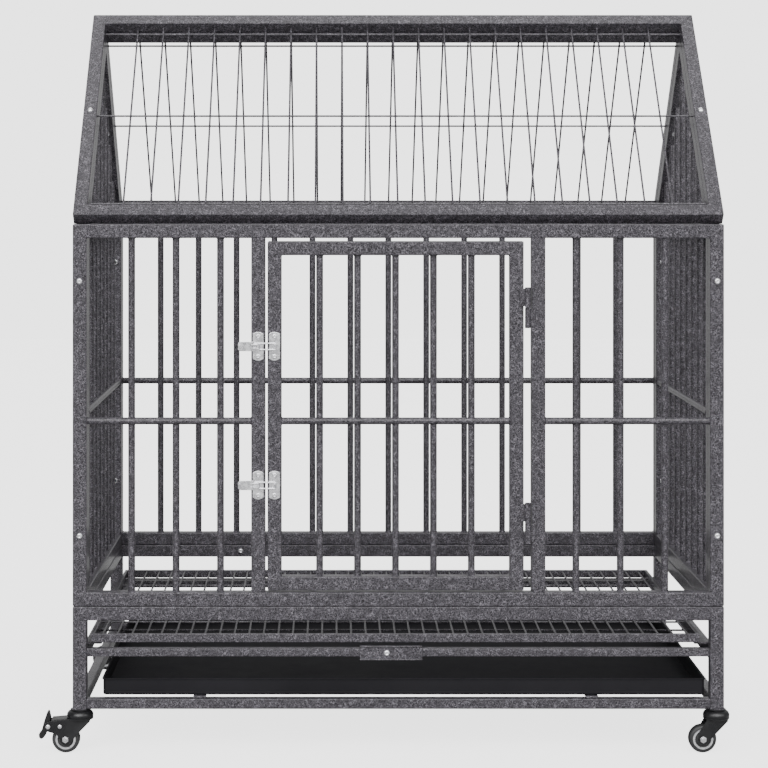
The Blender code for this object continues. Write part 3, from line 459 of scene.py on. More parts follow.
def makeBody():
    tube = stock["tube"]
    low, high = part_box("front_frame")
    width, height = high.x - low.x, high.z - low.z
    inner = width / 2 - tube
    pitch = 2 * inner / bodyLook["frontBays"]
    doorPost = bodyLook["doorway"] / 2 + tube
    middle = (low + high) / 2
    place = Matrix.Translation((middle.x, middle.y, low.z))
    bars = [side * (inner - step * pitch) for side in (-1, 1) for step in (1, 2, 3)]
    rails = [(-inner, -doorPost, bodyLook["frontRail"]), (doorPost, inner, bodyLook["frontRail"])]
    posts = [-doorPost + tube / 2, doorPost - tube / 2]
    makePanel("frontPanel", "front_frame", "cage", place, width, height, bars, rails, posts)

    low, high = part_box("back_frame")
    middle = (low + high) / 2
    place = Matrix.Translation((middle.x, middle.y, low.z)) @ Matrix.Rotation(math.pi, 4, "Z")
    bars = evenly(bodyLook["frontBays"] - 1, pitch)
    makePanel("backPanel", "back_frame", "cage", place, width, height, bars,
              [(-inner, inner, bodyLook["sideRail"])])

    for node, name, side in (("left_side_frame", "leftPanel", -1), ("right_side_frame", "rightPanel", 1)):
        low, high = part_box(node)
        middle = (low + high) / 2
        depth = high.y - low.y
        inside = depth / 2 - tube
        place = Matrix.Translation((middle.x, 0.0, low.z)) @ Matrix.Rotation(side * math.pi / 2, 4, "Z")
        bars = evenly(bodyLook["sideBars"], 2 * inside / (bodyLook["sideBars"] + 1))
        makePanel(name, node, "cage", place, depth, high.z - low.z, bars,
                  [(-inside, inside, bodyLook["sideRail"])], out=1)
    print("body ready")


def makeDoor():
    low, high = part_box("door")
    tube = stock["tube"]
    middle = (low + high) / 2
    width, height = high.x - low.x, high.z - low.z
    inside = width / 2 - tube
    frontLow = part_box("front_frame")[0]
    place = Matrix.Translation((middle.x, middle.y, low.z))
    bars = evenly(bodyLook["doorBars"], 2 * inside / (bodyLook["doorBars"] + 1))
    rail = frontLow.z + bodyLook["frontRail"] - low.z
    makePanel("doorPanel", "door", "door_leaf", place, width, height, bars, [(-inside, inside, rail)])
    print("door ready")


# Gable roof: two leaning wire panels and two barred triangles
roofLook = {"lean": math.radians(43.4), "wire": 0.0028, "wires": 21, "pitch": 0.0395,
            "inset": 0.012, "lap": 0.0003, "wireSides": 8, "gableRound": 0.0012}


def makeRoof():
    tube, sink, lean = stock["tube"], stock["sink"], roofLook["lean"]
    wire, inset, sides = roofLook["wire"], roofLook["inset"], roofLook["wireSides"]
    for node, name, turn, side in (("roof_front_panel", "roofFront", 0.0, -1),
                                   ("roof_back_panel", "roofBack", math.pi, 1)):
        low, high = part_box(node)
        width = high.x - low.x
        slope = (high.z - low.z - tube * math.sin(lean)) / math.cos(lean)
        foot = low.y if side < 0 else high.y
        spot = ((low.x + high.x) / 2, foot - side * tube / 2 * math.cos(lean),
                low.z + tube / 2 * math.sin(lean))
        place = Matrix.Translation(spot) @ Matrix.Rotation(turn, 4, "Z") @ Matrix.Rotation(-lean, 4, "X")
        bm = bmesh.new()
        addRing(bm, rectangle(width / 2, 0.0, slope), tube, tube, place)
        for x in evenly(roofLook["wires"], roofLook["pitch"]):
            addRod(bm, (x, 0.0, tube - sink), (x, 0.0, slope - tube + sink), wire / 2, sides, place)
        inner, behind = width / 2 - tube + sink, wire - roofLook["lap"]
        for z in (tube + inset, slope / 2, slope - tube - inset):
            addRod(bm, (-inner, behind, z), (inner, behind, z), wire / 2, sides, place)
        makePiece(bm, name, "cage", "vein_paint", [node])

    sideLow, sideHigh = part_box("left_side_frame")
    pitch = (sideHigh.y - sideLow.y - 2 * tube) / (bodyLook["sideBars"] + 1)
    for node, name, side in (("gable_left", "gableLeft", -1), ("gable_right", "gableRight", 1)):
        low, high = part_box(node)
        middle = (low.x + high.x) / 2
        half, height = (high.y - low.y) / 2, high.z - low.z
        place = Matrix.Translation((middle, 0.0, low.z)) @ Matrix.Rotation(side * math.pi / 2, 4, "Z")
        bm = bmesh.new()
        addRing(bm, [(-half, 0.0), (half, 0.0), (0.0, height)], tube, tube, place, roofLook["gableRound"])
        peak = height - tube / math.sin(lean)
        for x in evenly(bodyLook["sideBars"], pitch):
            top = peak - abs(x) / math.tan(lean) + stock["bar"] / 2
            addWeldedBar(bm, (x, 0.0, tube), (x, 0.0, top), place, (True, False))
        makePiece(bm, name, "cage", "vein_paint", [node])
    print("roof ready")


# Floor grate and slide tray
grateLook = {"wire": 0.003, "pitch": 0.021, "crossPitch": 0.062, "rim": 0.005, "rimRound": 0.0012,
             "sides": 8}
trayLook = {"wall": 0.002, "rim": 0.0012, "corner": 0.006, "cornerSteps": 5, "foot": 0.0025, "footSteps": 3}


def makeGrate():
    low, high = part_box("floor_grate")
    middle = (low + high) / 2
    width, depth, height = high.x - low.x, high.y - low.y, high.z - low.z
    rim, wire, sides, sink = grateLook["rim"], grateLook["wire"], grateLook["sides"], stock["sink"]
    pitch, crossPitch = grateLook["pitch"], grateLook["crossPitch"]
    lie = Matrix.Translation(middle) @ Matrix.Rotation(-math.pi / 2, 4, "X")
    bm = bmesh.new()
    outline = rectangle(width / 2, -depth / 2, depth / 2)
    addRing(bm, outline, rim, height, lie, grateLook["rimRound"], welded=False)
    longZ = high.z - wire
    crossZ = longZ - wire + stock["seat"]
    reachX, reachY = width / 2 - rim + sink, depth / 2 - rim + sink
    for step in evenly(int((width - 2 * rim) / pitch), pitch):
        x = middle.x + step
        addRod(bm, (x, middle.y - reachY, longZ), (x, middle.y + reachY, longZ), wire / 2, sides)
    for step in evenly(int((depth - 2 * rim) / crossPitch), crossPitch):
        y = middle.y + step
        addRod(bm, (middle.x - reachX, y, crossZ), (middle.x + reachX, y, crossZ), wire / 2, sides)
    makePiece(bm, "floorGrate", "grate", "vein_paint", ["floor_grate"])
    print("grate ready")


def makeTray():
    low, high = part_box("slide_tray")
    rim, wall = trayLook["rim"], trayLook["wall"]
    bm = bmesh.new()
    floor = Vector((low.x + rim, low.y + rim, low.z))
    brim = Vector((high.x - rim, high.y - rim, high.z))
    size = Matrix.LocRotScale((floor + brim) / 2, None, brim - floor)
    bmesh.ops.create_cube(bm, size=1.0, matrix=size)
    bm.normal_update()
    bmesh.ops.delete(bm, geom=[face for face in bm.faces if face.normal.z > 0.5], context="FACES_ONLY")
    upright = [edge for edge in bm.edges if abs(edge.verts[0].co.z - edge.verts[1].co.z) > wall]
    bmesh.ops.bevel(bm, geom=upright, offset=trayLook["corner"], offset_type="OFFSET",
                    segments=trayLook["cornerSteps"], profile=0.5, affect="EDGES", material=-1)
    base = [edge for edge in bm.edges if len(edge.link_faces) == 2
            and max(vert.co.z for vert in edge.verts) < low.z + wall / 2]
    bmesh.ops.bevel(bm, geom=base, offset=trayLook["foot"], offset_type="OFFSET",
                    segments=trayLook["footSteps"], profile=0.5, affect="EDGES", material=-1)
    bm.normal_update()
    middle = (low + high) / 2
    brimEdges = [edge for edge in bm.edges if edge.is_boundary]
    spread = bmesh.ops.extrude_edge_only(bm, edges=brimEdges)
    for vert in [item for item in spread["geom"] if isinstance(item, bmesh.types.BMVert)]:
        vert.co.x += math.copysign(rim, vert.co.x - middle.x)
        vert.co.y += math.copysign(rim, vert.co.y - middle.y)
    tray = makePiece(bm, "slideTray", "tray", "tray_black", ["slide_tray"])
    shell = tray.modifiers.new("wall", "SOLIDIFY")
    shell.thickness = wall
    shell.offset = -1.0
    tray.modifiers.move(1, 0)
    print("tray ready")


# Casters: a shape is a list of radius or x and a height above or below the edge that it starts from
casterLook = {
    "seat": 0.0138, "seatHeight": 0.0016, "seatGap": 0.0004, "seatTop": 0.0005, "seatFoot": 0.0003,
    "stem": 0.0040, "stemReach": 0.0165,
    "stemShape": ((0.0040, 0.0020), (0.0064, 0.0018), (0.0060, 0.0010), (0.0045, 0.0), (0.0, 0.0)),
    "dome": 0.0190, "domeHeight": 0.0122, "domeFlat": 0.98,
    "domeShape": ((0.85, 0.0010), (0.94, 0.0028), (0.99, 0.0052), (1.0, 0.0070), (0.985, 0.0082),
                  (0.95, 0.0086), (0.95, 0.0092), (0.99, 0.0097)),
    "domeEdge": ((0.98, 0.0005), (0.95, 0.0)),
    "cheek": 0.0020, "gap": 0.0015, "boss": 0.0075, "cheekRound": 0.0005,
    "cheekTop": ((-0.014, 0.001), (0.0155, 0.001), (0.0150, -0.002)), "cheekNeck": (0.0, 0.0108),
    "plainBack": ((-0.0255, 0.010),), "brakedTop": -0.020,
    "brakedBack": ((-0.033, 0.008), (-0.050, 0.0130), (-0.0505, 0.0225), (-0.043, 0.0262)),
    "cover": ((-0.018, 0.0270), (-0.0175, 0.0305), (-0.0405, 0.0286), (-0.0405, 0.0251)),
    "coverIn": 0.0004, "coverRound": 0.0008,
    "wheelHalf": 0.0085,
    "hubShape": ((0.0034, -0.0006), (0.0085, -0.0006), (0.0100, -0.0014), (0.0114, -0.0002),
                 (0.0150, 0.0), (0.0166, -0.0006)),
    "treadShape": ((0.0016, -0.0012), (0.0005, -0.0022), (0.0, -0.0040)),
    "ringShape": ((0.0112, -0.0001), (0.0116, 0.0006), (0.0142, 0.0006), (0.0146, -0.0001),
                  (0.0146, -0.0007), (0.0112, -0.0007)),
    "nut": 0.0055, "nutHeight": 0.0034, "nutOut": 0.0002, "nutRound": 0.0010,
    "axle": 0.0030, "axleEnd": 0.0008, "axleTip": (0.0007, 0.0006),
    "rivet": 0.0031, "pivotRivet": 0.0035, "rivetSpot": (-0.028, 0.0, 0.0189), "rivetSunk": 0.0004,
    "rivetShape": ((0.0, 0.30), (0.28, 0.30), (0.36, 0.42), (0.62, 0.40), (0.90, 0.22), (1.0, 0.0))}
brakedCasters = ("front_left", "back_right")


# Rounded rivet heads on both cheeks of a fork
def addRivets(bm, radius, spot, face):
    sunk = casterLook["rivetSunk"]
    profile = [(radius * wide, radius * rise) for wide, rise in casterLook["rivetShape"]]
    profile += [(radius, -sunk), (0.0, -sunk)]
    for side in (-1, 1):
        turned = Matrix.Rotation(-side * math.pi / 2, 4, "X")
        addSpin(bm, profile, 24, spot @ Matrix.Translation((0.0, side * face, 0.0)) @ turned)


def makeCaster(name):
    swivel = jointPlaces["swivel_" + name]
    wheel = jointPlaces["roll_" + name]
    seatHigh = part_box("caster_stem_" + name)[1]
    trail = wheel.x - swivel.x
    axis = Matrix.Translation((swivel.x, swivel.y, wheel.z))
    top = seatHigh.z - wheel.z
    half, cheek, gap = casterLook["wheelHalf"], casterLook["cheek"], casterLook["gap"]
    face = half + gap + cheek

    # Seat, stem and the dome that turns under them
    seat, under = casterLook["seat"], top - casterLook["seatHeight"]
    edge, foot = casterLook["seatTop"], casterLook["seatFoot"]
    bm = bmesh.new()
    addSpin(bm, [(0.0, top), (seat - edge, top), (seat, top - edge), (seat, under + foot),
                 (seat - foot, under), (0.0, under)], 40, axis)
    makePiece(bm, "casterSeat_" + name, "cage", "caster_black", ["caster_stem_" + name])
    stem, low = casterLook["stem"], top - casterLook["stemReach"]
    shape = [(radius, low + rise) for radius, rise in casterLook["stemShape"]]
    bm = bmesh.new()
    addSpin(bm, [(0.0, under), (stem, under)] + shape, 40, axis)
    makePiece(bm, "casterStem_" + name, "cage", "bright_zinc")

    domeTop = under - casterLook["seatGap"]
    domeLow = domeTop - casterLook["domeHeight"]
    dome, bore = casterLook["dome"], stem + stock["seat"]
    shape = [(dome * wide, domeTop - drop) for wide, drop in casterLook["domeShape"]]
    shape += [(dome * wide, domeLow + rise) for wide, rise in casterLook["domeEdge"]]
    bm = bmesh.new()
    addSpin(bm, [(bore, domeTop), (seat * casterLook["domeFlat"], domeTop)] + shape + [(bore, domeLow)],
            48, axis, closed=True)

    # Cheeks, which reach further back and carry a cover where there is a brake
    braked = name in brakedCasters
    outline = [(x, domeLow + rise) for x, rise in casterLook["cheekTop"]]
    cheekTop = outline[0][1]
    outline.append(casterLook["cheekNeck"])
    outline += arcPoints((trail, 0.0), casterLook["boss"], -35, -185, 12)
    outline += casterLook["brakedBack"] if braked else casterLook["plainBack"]
    if braked:
        outline.append((casterLook["brakedTop"], cheekTop))
    for side in (-1, 1):
        lay = axis @ Matrix.Translation((0.0, side * (face - cheek / 2), 0.0))
        addPlate(bm, outline, cheek, casterLook["cheekRound"], lay)
    if braked:
        addPlate(bm, casterLook["cover"], 2 * face - casterLook["coverIn"], casterLook["coverRound"], axis)
    makePiece(bm, "casterFork_" + name, "fork_" + name, "caster_black", ["caster_fork_" + name])
    if braked:
        bm = bmesh.new()
        addRivets(bm, casterLook["rivet"], axis @ Matrix.Translation(casterLook["rivetSpot"]), face)
        addRivets(bm, casterLook["pivotRivet"], Matrix.Translation(jointPlaces["brake_" + name]), face)
        makePiece(bm, "brakeRivets_" + name, "fork_" + name, "bright_zinc")

    # Tyre with rounded shoulders, and a bright ring in each face
    hub = Matrix.Translation(wheel) @ Matrix.Rotation(math.pi / 2, 4, "X")
    shape = [(radius, half + rise) for radius, rise in casterLook["hubShape"]]
    shape += [(wheel.z - inward, half + rise) for inward, rise in casterLook["treadShape"]]
    bm = bmesh.new()
    addSpin(bm, shape + [(r, -h) for r, h in reversed(shape)], 64, hub, closed=True)
    makePiece(bm, "casterTyre_" + name, "wheel_" + name, "tyre_rubber", ["caster_wheel_" + name])
    bm = bmesh.new()
    for side in (-1, 1):
        ring = [(radius, side * (half + rise)) for radius, rise in casterLook["ringShape"]]
        addSpin(bm, ring, 64, hub, closed=True)
    makePiece(bm, "wheelRing_" + name, "wheel_" + name, "bright_zinc")

    # Axle with a chamfered nut let into each cheek, and its own end showing past the nut
    nut, nutHeight, axle = casterLook["nut"], casterLook["nutHeight"], casterLook["axle"]
    outside = half + casterLook["nutOut"]
    reach = outside + nutHeight + casterLook["axleEnd"]
    narrower, shorter = casterLook["axleTip"]
    rod = [(0.0, reach), (axle - narrower, reach), (axle, reach - shorter)]
    bm = bmesh.new()
    addSpin(bm, rod + [(r, -h) for r, h in reversed(rod)], 24, hub)
    for side in (-1, 1):
        addHexNut(bm, nut, nutHeight, side * (outside + nutHeight / 2), casterLook["nutRound"], 3, hub)
    makePiece(bm, "casterAxle_" + name, "fork_" + name, "bright_zinc", ["caster_axle_" + name])

    if braked:
        makeBrake(name)


# Foot brake, as an outline round its pivot
brakeLook = {
    "round": 0.0009,
    "lever": ((-0.0014, 0.0204), (0.0008, 0.0200), (0.0030, 0.0100), (0.0034, 0.0), (0.0070, -0.0076),
              (0.0044, -0.0098), (-0.0008, -0.0050), (-0.0030, -0.0080), (-0.0036, -0.0128),
              (-0.0066, -0.0166), (-0.0102, -0.0186), (-0.0130, -0.0160), (-0.0135, -0.0112),
              (-0.0100, -0.0078), (-0.0082, -0.0020), (-0.0058, 0.0070))}


def makeBrake(name):
    place = Matrix.Translation(jointPlaces["brake_" + name])
    bm = bmesh.new()
    addPlate(bm, brakeLook["lever"], 2 * casterLook["wheelHalf"], brakeLook["round"], place)
    makePiece(bm, "brakePedal_" + name, "brake_" + name, "caster_black", ["brake_lever_" + name])


# A button head with a socket in it, on a face whose outward direction is the place's Z
screwLook = {"floor": 0.0003, "lip": 0.0003, "lipRise": 0.94, "edge": 0.0002, "foot": 0.98, "sunk": 0.0003,
             "crown": ((0.66, 0.93), (0.88, 0.66), (0.98, 0.3))}


def addScrewHead(bm, place, radius, rise, socket):
    floor, lip, sunk = screwLook["floor"], screwLook["lip"], screwLook["sunk"]
    profile = [(0.0, floor), (socket, floor), (socket + lip, rise * screwLook["lipRise"]),
               (socket + 2 * lip, rise)]
    profile += [(radius * wide, rise * high) for wide, high in screwLook["crown"]]
    profile += [(radius, screwLook["edge"]), (radius * screwLook["foot"], -sunk), (0.0, -sunk)]
    addSpin(bm, profile, 32, place)


boltLook = {"head": 0.0044, "rise": 0.0026, "socket": 0.0016, "shank": 0.0025, "nut": 0.0046,
            "nutHeight": 0.004, "nutRound": 0.0005, "gap": 0.0003}


def makeBolt(name, place, grip):
    nutHeight = boltLook["nutHeight"]
    end = -grip - boltLook["gap"] - nutHeight
    bm = bmesh.new()
    addScrewHead(bm, place, boltLook["head"], boltLook["rise"], boltLook["socket"])
    addRod(bm, (0.0, 0.0, 0.0), (0.0, 0.0, end), boltLook["shank"], 20, place)
    addHexNut(bm, boltLook["nut"], nutHeight, end + nutHeight / 2, boltLook["nutRound"], 2, place)
    makePiece(bm, name.replace("bolt_", "bolt_dressed_"), "cage", "bright_zinc", [name])


def makeBolts():
    lean, tube = roofLook["lean"], stock["tube"]
    roofLow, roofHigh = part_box("roof_front_panel")
    foot = roofLow.z + tube * math.sin(lean)
    up = (roofHigh.z - roofLow.z - tube * math.sin(lean)) / math.cos(lean) / 2
    for name in sorted(frame["nodes"]):
        if not name.startswith("bolt_"):
            continue
        low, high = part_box(name)
        middle = (low + high) / 2
        facing = 1 if "_back_" in name else -1
        if "roof" in name:
            spot = (middle.x, facing * (-roofLow.y - up * math.sin(lean)), foot + up * math.cos(lean))
            place = Matrix.Translation(spot) @ Matrix.Rotation(-facing * (math.pi / 2 - lean), 4, "X")
            grip = 2 * tube + boltLook["gap"]
        else:
            face = low.y + boltLook["rise"] if facing < 0 else high.y - boltLook["rise"]
            turned = Matrix.Rotation(-facing * math.pi / 2, 4, "X")
            place = Matrix.Translation((middle.x, face, middle.z)) @ turned
            grip = high.y - low.y - boltLook["rise"] - boltLook["nutHeight"] - boltLook["gap"]
        makeBolt(name, place, grip)
    print("bolts ready")


# Lift-off hinges: the door's knuckle over the pin of the frame's knuckle
hingeLook = {"knuckle": 0.00435, "bore": 0.0028, "pin": 0.0025, "height": 0.029, "leaf": 0.011,
             "wall": 0.002, "edge": 0.0004, "inset": 0.002, "step": 0.0003}


def makeHinges():
    axis = jointPlaces["door_swing"]
    outer, bore, pin = hingeLook["knuckle"], hingeLook["bore"], hingeLook["pin"]
    height, leaf, wall = hingeLook["height"], hingeLook["leaf"], hingeLook["wall"]
    edge, inset, step = hingeLook["edge"], hingeLook["inset"], hingeLook["step"]
    for which in ("lower", "upper"):
        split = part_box("door_hinge_" + which)[1].z - height
        place = Matrix.Translation((axis.x, axis.y, split))
        bm = bmesh.new()
        addSpin(bm, [(bore, step), (outer - edge, step), (outer, step + edge), (outer, height - edge),
                     (outer - edge, height), (bore + edge, height), (bore, height - edge)],
                32, place, closed=True)
        addBlock(bm, (-leaf, outer - wall, inset), (-bore, outer - step, height - inset),
                 stock["sheetRound"], place)
        makePiece(bm, "doorKnuckle_" + which, "door_leaf", "vein_paint", ["door_hinge_" + which])
        bm = bmesh.new()
        addSpin(bm, [(0.0, height - inset), (pin - edge, height - inset), (pin, height - inset - edge),
                     (pin, 0.0), (outer - edge, 0.0), (outer, -edge), (outer, edge - height),
                     (outer - edge, -height), (0.0, -height)], 32, place)
        addBlock(bm, (0.0, outer - wall, inset - height), (leaf, outer, -inset), stock["sheetRound"], place)
        makePiece(bm, "frameKnuckle_" + which, "cage", "vein_paint", ["frame_hinge_" + which])
    print("hinges ready")


# Sweeps a round wire along points, with its ends capped
def addWire(bm, points, radius, sides, place=None):
    part = bmesh.new()
    rings = []
    for i, point in enumerate(points):
        before, after = Vector(points[max(i - 1, 0)]), Vector(points[min(i + 1, len(points) - 1)])
        aim = (after - before).to_track_quat("Z", "Y").to_matrix().to_4x4()
        made = bmesh.ops.create_circle(part, segments=sides, radius=radius,
                                       matrix=Matrix.Translation(point) @ aim)
        rings.append([edge for edge in part.edges if all(vert in made["verts"] for vert in edge.verts)])
    for first, second in zip(rings, rings[1:]):
        bmesh.ops.bridge_loops(part, edges=first + second)
    bmesh.ops.holes_fill(part, edges=part.edges[:], sides=sides)
    bmesh.ops.recalc_face_normals(part, faces=part.faces)
    appendTo(bm, part, place)


# Toggle latches
latchLook = {
    "wall": 0.0015, "plateRound": 0.0007, "arch": 0.0115, "screwUp": 0.0143, "screw": 0.0037,
    "screwRise": 0.0016, "socket": 0.0012, "earHalf": 0.0015, "earEnd": 0.001, "earRound": 0.0003,
    "flange": 0.0014, "flangeRadius": 0.0026, "gap": 0.0003, "pin": 0.0012, "throw": 0.0060,
    "leverWall": 0.0015, "stripRound": 0.0004, "tipRound": 0.0045, "curl": 0.0019,
    "wire": 0.001, "wireBend": 0.0016, "tabRound": 0.0005}


def addLatchPlate(bm, low, high, place):
    width, height = high.x - low.x, high.z - low.z
    radius = latchLook["arch"]
    start = math.degrees(math.acos(width / 2 / radius))
    outline = arcPoints((0.0, height / 2 - radius), radius, start, 180 - start, 12)
    outline += arcPoints((0.0, radius - height / 2), radius, 180 + start, 360 - start, 12)
    wall = latchLook["wall"]
    addPlate(bm, outline, wall, latchLook["plateRound"], place @ Matrix.Translation((0.0, -wall / 2, 0.0)))
    turned = Matrix.Rotation(math.pi / 2, 4, "X")
    for end in (-1, 1):
        lay = place @ Matrix.Translation((0.0, -wall, end * latchLook["screwUp"])) @ turned
        addScrewHead(bm, lay, latchLook["screw"], latchLook["screwRise"], latchLook["socket"])


def makeLatch(which):
    pivot = jointPlaces[which + "_lever_turn"]
    hook = jointPlaces[which + "_loop_turn"]
    low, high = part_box("latch_base_" + which)
    face = high.y
    radius, flange, gap = latchLook["flangeRadius"], latchLook["flange"], latchLook["gap"]
    inner = latchLook["earHalf"] + gap
    outer = inner + flange
    upright = Matrix.Rotation(-math.pi / 2, 4, "X")
    bm = bmesh.new()
    addLatchPlate(bm, low, high, Matrix.Translation((pivot.x, face, pivot.z)))
    earEnd = face - pivot.y - latchLook["earEnd"]
    ear = arcPoints((0.0, 0.0), radius - gap, 180, 360, 12)
    ear += [(radius - gap, earEnd), (gap - radius, earEnd)]
    at = Matrix.Translation(pivot)
    addPlate(bm, ear, 2 * latchLook["earHalf"], latchLook["earRound"], at @ upright)
    addRod(bm, (0.0, 0.0, -outer), (0.0, 0.0, outer), latchLook["pin"], 20, at)
    makePiece(bm, "latchPlate_" + which, "cage", "bright_zinc", ["latch_base_" + which])

    leverLow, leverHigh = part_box("latch_lever_" + which)
    throw, wall = latchLook["throw"], latchLook["leverWall"]
    back = leverHigh.y - pivot.y
    root = -throw - 2 * radius
    tip = leverLow.x - pivot.x
    half = (leverHigh.z - leverLow.z) / 2
    side = [(root, back), (0.0, back)] + arcPoints((0.0, 0.0), radius, 60, -90, 12)
    side += [(-throw, -radius), (root, back - wall * 1.5)]
    bm = bmesh.new()
    for end in (-1, 1):
        shift = Matrix.Translation((0.0, 0.0, end * (inner + flange / 2)))
        addPlate(bm, side, flange, latchLook["earRound"], at @ shift @ upright)
    bend, neck = latchLook["tipRound"], -throw - 2 * latchLook["wire"]
    strip = arcPoints((tip + bend, half - bend), bend, 90, 180, 8)
    strip += arcPoints((tip + bend, bend - half), bend, 180, 270, 8)
    strip += [(root + bend, -half), (neck, -outer), (neck, outer), (root + bend, half)]
    lay = at @ Matrix.Translation((0.0, back - wall / 2, 0.0))
    addPlate(bm, strip, wall, latchLook["stripRound"], lay)
    curl = latchLook["curl"]
    points = [(tip + curl, back - curl, end * (half - bend)) for end in (1, 0, -1)]
    addWire(bm, points, curl, 20, at)
    makePiece(bm, "latchHandle_" + which, which + "_lever", "bright_zinc", ["latch_lever_" + which])

    loopLow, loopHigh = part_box("latch_loop_" + which)
    wire, bend = latchLook["wire"], latchLook["wireBend"]
    reach = loopHigh.x - wire - hook.x
    span = (loopHigh.z - loopLow.z) / 2 - wire
    corner = arcPoints((bend, span - bend), bend, 180, 90, 6)
    corner += arcPoints((reach - bend, span - bend), bend, 90, 0, 6)
    path = [(0.0, 0.0, inner + gap)] + [(x, 0.0, z) for x, z in corner]
    path += [(x, y, -z) for x, y, z in reversed(path)]
    bm = bmesh.new()
    addWire(bm, path, wire, 16, Matrix.Translation(hook))
    makePiece(bm, "latchWire_" + which, which + "_loop", "bright_zinc", ["latch_loop_" + which])

    low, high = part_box("latch_catch_" + which)
    bm = bmesh.new()
    middle = (low.x + high.x) / 2
    addLatchPlate(bm, low, high, Matrix.Translation((middle, face, pivot.z)))
    tab, reach = latchLook["wall"] / 2, outer - gap
    addBlock(bm, (middle - tab, low.y, pivot.z - reach), (middle + tab, face - tab, pivot.z + reach),
             latchLook["tabRound"])
    makePiece(bm, "catchPlate_" + which, "door_leaf", "bright_zinc", ["latch_catch_" + which])
    print("latch ready:", which)


# Stop plate: a shallow channel with rounded bends, and its screw
stopLook = {"wall": 0.002, "bend": 0.0009, "bendSteps": 3, "screwRise": 0.0025}


def makeStop():
    low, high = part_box("tray_stop_plate")
    wall, bend, steps = stopLook["wall"], stopLook["bend"], stopLook["bendSteps"]
    bm = bmesh.new()
    addBlock(bm, (low.x, high.y - wall, low.z), high, bend, steps=steps)
    for z in (low.z, high.z - wall):
        addBlock(bm, (low.x, low.y, z), (high.x, high.y, z + wall), bend, steps=steps)
    makePiece(bm, "stopChannel", "stop_plate", "vein_paint", ["tray_stop_plate"])
    low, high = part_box("tray_stop_screw")
    middle = (low + high) / 2
    rise = stopLook["screwRise"]
    place = Matrix.Translation((middle.x, low.y + rise, middle.z)) @ Matrix.Rotation(math.pi / 2, 4, "X")
    bm = bmesh.new()
    addScrewHead(bm, place, (high.x - low.x) / 2, rise, boltLook["socket"])
    addRod(bm, (0.0, 0.0, 0.0), (0.0, 0.0, low.y + rise - high.y), boltLook["shank"], 20, place)
    makePiece(bm, "stopScrew", "cage", "bright_zinc", ["tray_stop_screw"])
    print("stop ready")


# Nodes that keep their CAD shape get the finish of their slot
def dressNodes():
    looks = {row["node"]: row["material_slot"] for row in frame["record"]["subparts"]}
    for name, node in frame["nodes"].items():
        node.data.materials.clear()
        node.data.materials.append(slotLooks[looks[name]])


# The studio: the sky lights the cage softly from the front and above, and the lens sees a pale backdrop
studioLook = {"floor": 0.42, "floorSize": 14.0, "floorSpot": (0.0, 1.5, 0.0), "floorGlow": 2.6,
              "sky": 0.60, "skySides": 0.32, "front": 5.8, "frontAim": (0.0, -0.80, 0.60), "backdrop": 3.0,
              "aim": (0.0, 0.0, 0.25),
              "panels": (("keyPanel", (-2.0, -3.0, 1.9), 1.8, 56.0),
                         ("fillPanel", (2.4, -2.4, 1.7), 2.0, 36.0),
                         ("topPanel", (0.0, 0.6, 3.2), 2.2, 24.0))}
cameraLook = {"spot": (-0.079, -3.55, 0.811), "lens": 107.1, "sensor": 36.0,
              "shiftX": 0.0698, "shiftY": -0.259}


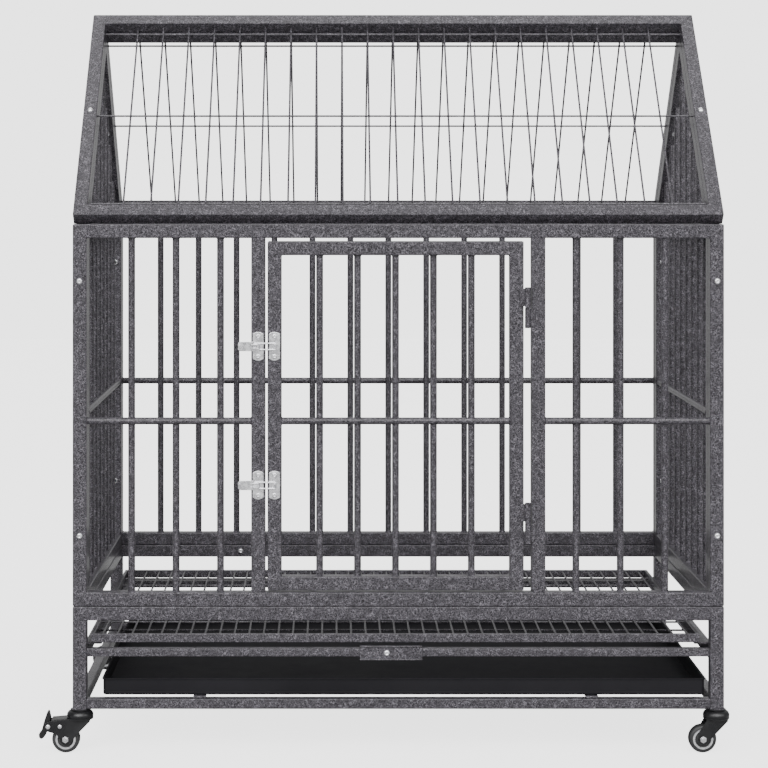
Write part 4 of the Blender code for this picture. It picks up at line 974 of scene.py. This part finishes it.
def makeStudio():
    scene = bpy.context.scene
    camera = bpy.data.cameras.new("photoCamera")
    camera.lens = cameraLook["lens"]
    camera.sensor_width = cameraLook["sensor"]
    camera.shift_x = cameraLook["shiftX"]
    camera.shift_y = cameraLook["shiftY"]
    view = bpy.data.objects.new("photoCamera", camera)
    view.location = cameraLook["spot"]
    view.rotation_euler = (math.pi / 2, 0.0, 0.0)
    scene.collection.objects.link(view)
    scene.camera = view

    white = (1.0, 1.0, 1.0, 1.0)
    bpy.ops.mesh.primitive_plane_add(size=studioLook["floorSize"], location=studioLook["floorSpot"])
    floor = bpy.context.object
    floor.name = "paleFloor"
    paper, tree, shader = startMaterial("palePaper", Roughness=0.9)[:3]
    shader.inputs["Base Color"].default_value = (*[studioLook["floor"]] * 3, 1.0)
    shader.inputs["Emission Color"].default_value = white
    seen = tree.nodes.new("ShaderNodeLightPath").outputs["Is Camera Ray"]
    glow = addMath(tree, "MULTIPLY", seen, studioLook["floorGlow"])
    tree.links.new(glow, shader.inputs["Emission Strength"])
    floor.data.materials.append(paper)

    world = scene.world or bpy.data.worlds.new("studio")
    scene.world = world
    world.use_nodes = True
    tree = world.node_tree
    aim = tree.nodes.new("ShaderNodeTexCoord").outputs["Generated"]
    across = addNode(tree, "ShaderNodeSeparateXYZ", Vector=aim).outputs["X"]
    level = makeRamp(tree, addMath(tree, "ABSOLUTE", across),
                     [(0.35, studioLook["sky"]), (0.90, studioLook["skySides"])])
    facing = addNode(tree, "ShaderNodeVectorMath", {"operation": "DOT_PRODUCT"}, Vector=aim)
    facing.inputs[1].default_value = studioLook["frontAim"]
    ahead = makeRamp(tree, facing.outputs["Value"], [(0.86, 0.0), (0.97, 1.0)])
    lit = addMath(tree, "ADD", level, addMath(tree, "MULTIPLY", ahead, studioLook["front"]))
    seen = tree.nodes.new("ShaderNodeLightPath").outputs["Is Camera Ray"]
    backdrop = addMath(tree, "MULTIPLY", seen, studioLook["backdrop"])
    behind = addMath(tree, "MULTIPLY", lit, addMath(tree, "SUBTRACT", 1.0, seen))
    strength = addMath(tree, "ADD", behind, backdrop)
    tree.links.new(strength, tree.nodes["Background"].inputs["Strength"])
    tree.nodes["Background"].inputs["Color"].default_value = white
    for name, spot, size, power in studioLook["panels"]:
        light = bpy.data.lights.new(name, "AREA")
        light.size = size
        light.energy = power
        lamp = bpy.data.objects.new(name, light)
        lamp.location = spot
        lamp.rotation_euler = (Vector(studioLook["aim"]) - Vector(spot)).to_track_quat("-Z", "Y").to_euler()
        scene.collection.objects.link(lamp)
    print("studio ready")


makeStudio()
dressNodes()
makeBase()
makeBody()
makeDoor()
makeRoof()
makeGrate()
makeTray()
for joint in frame["joints"]:
    if joint["name"].startswith("swivel_"):
        makeCaster(joint["name"].replace("swivel_", ""))
print("casters ready")
makeBolts()
makeHinges()
makeLatch("upper")
makeLatch("lower")
makeStop()
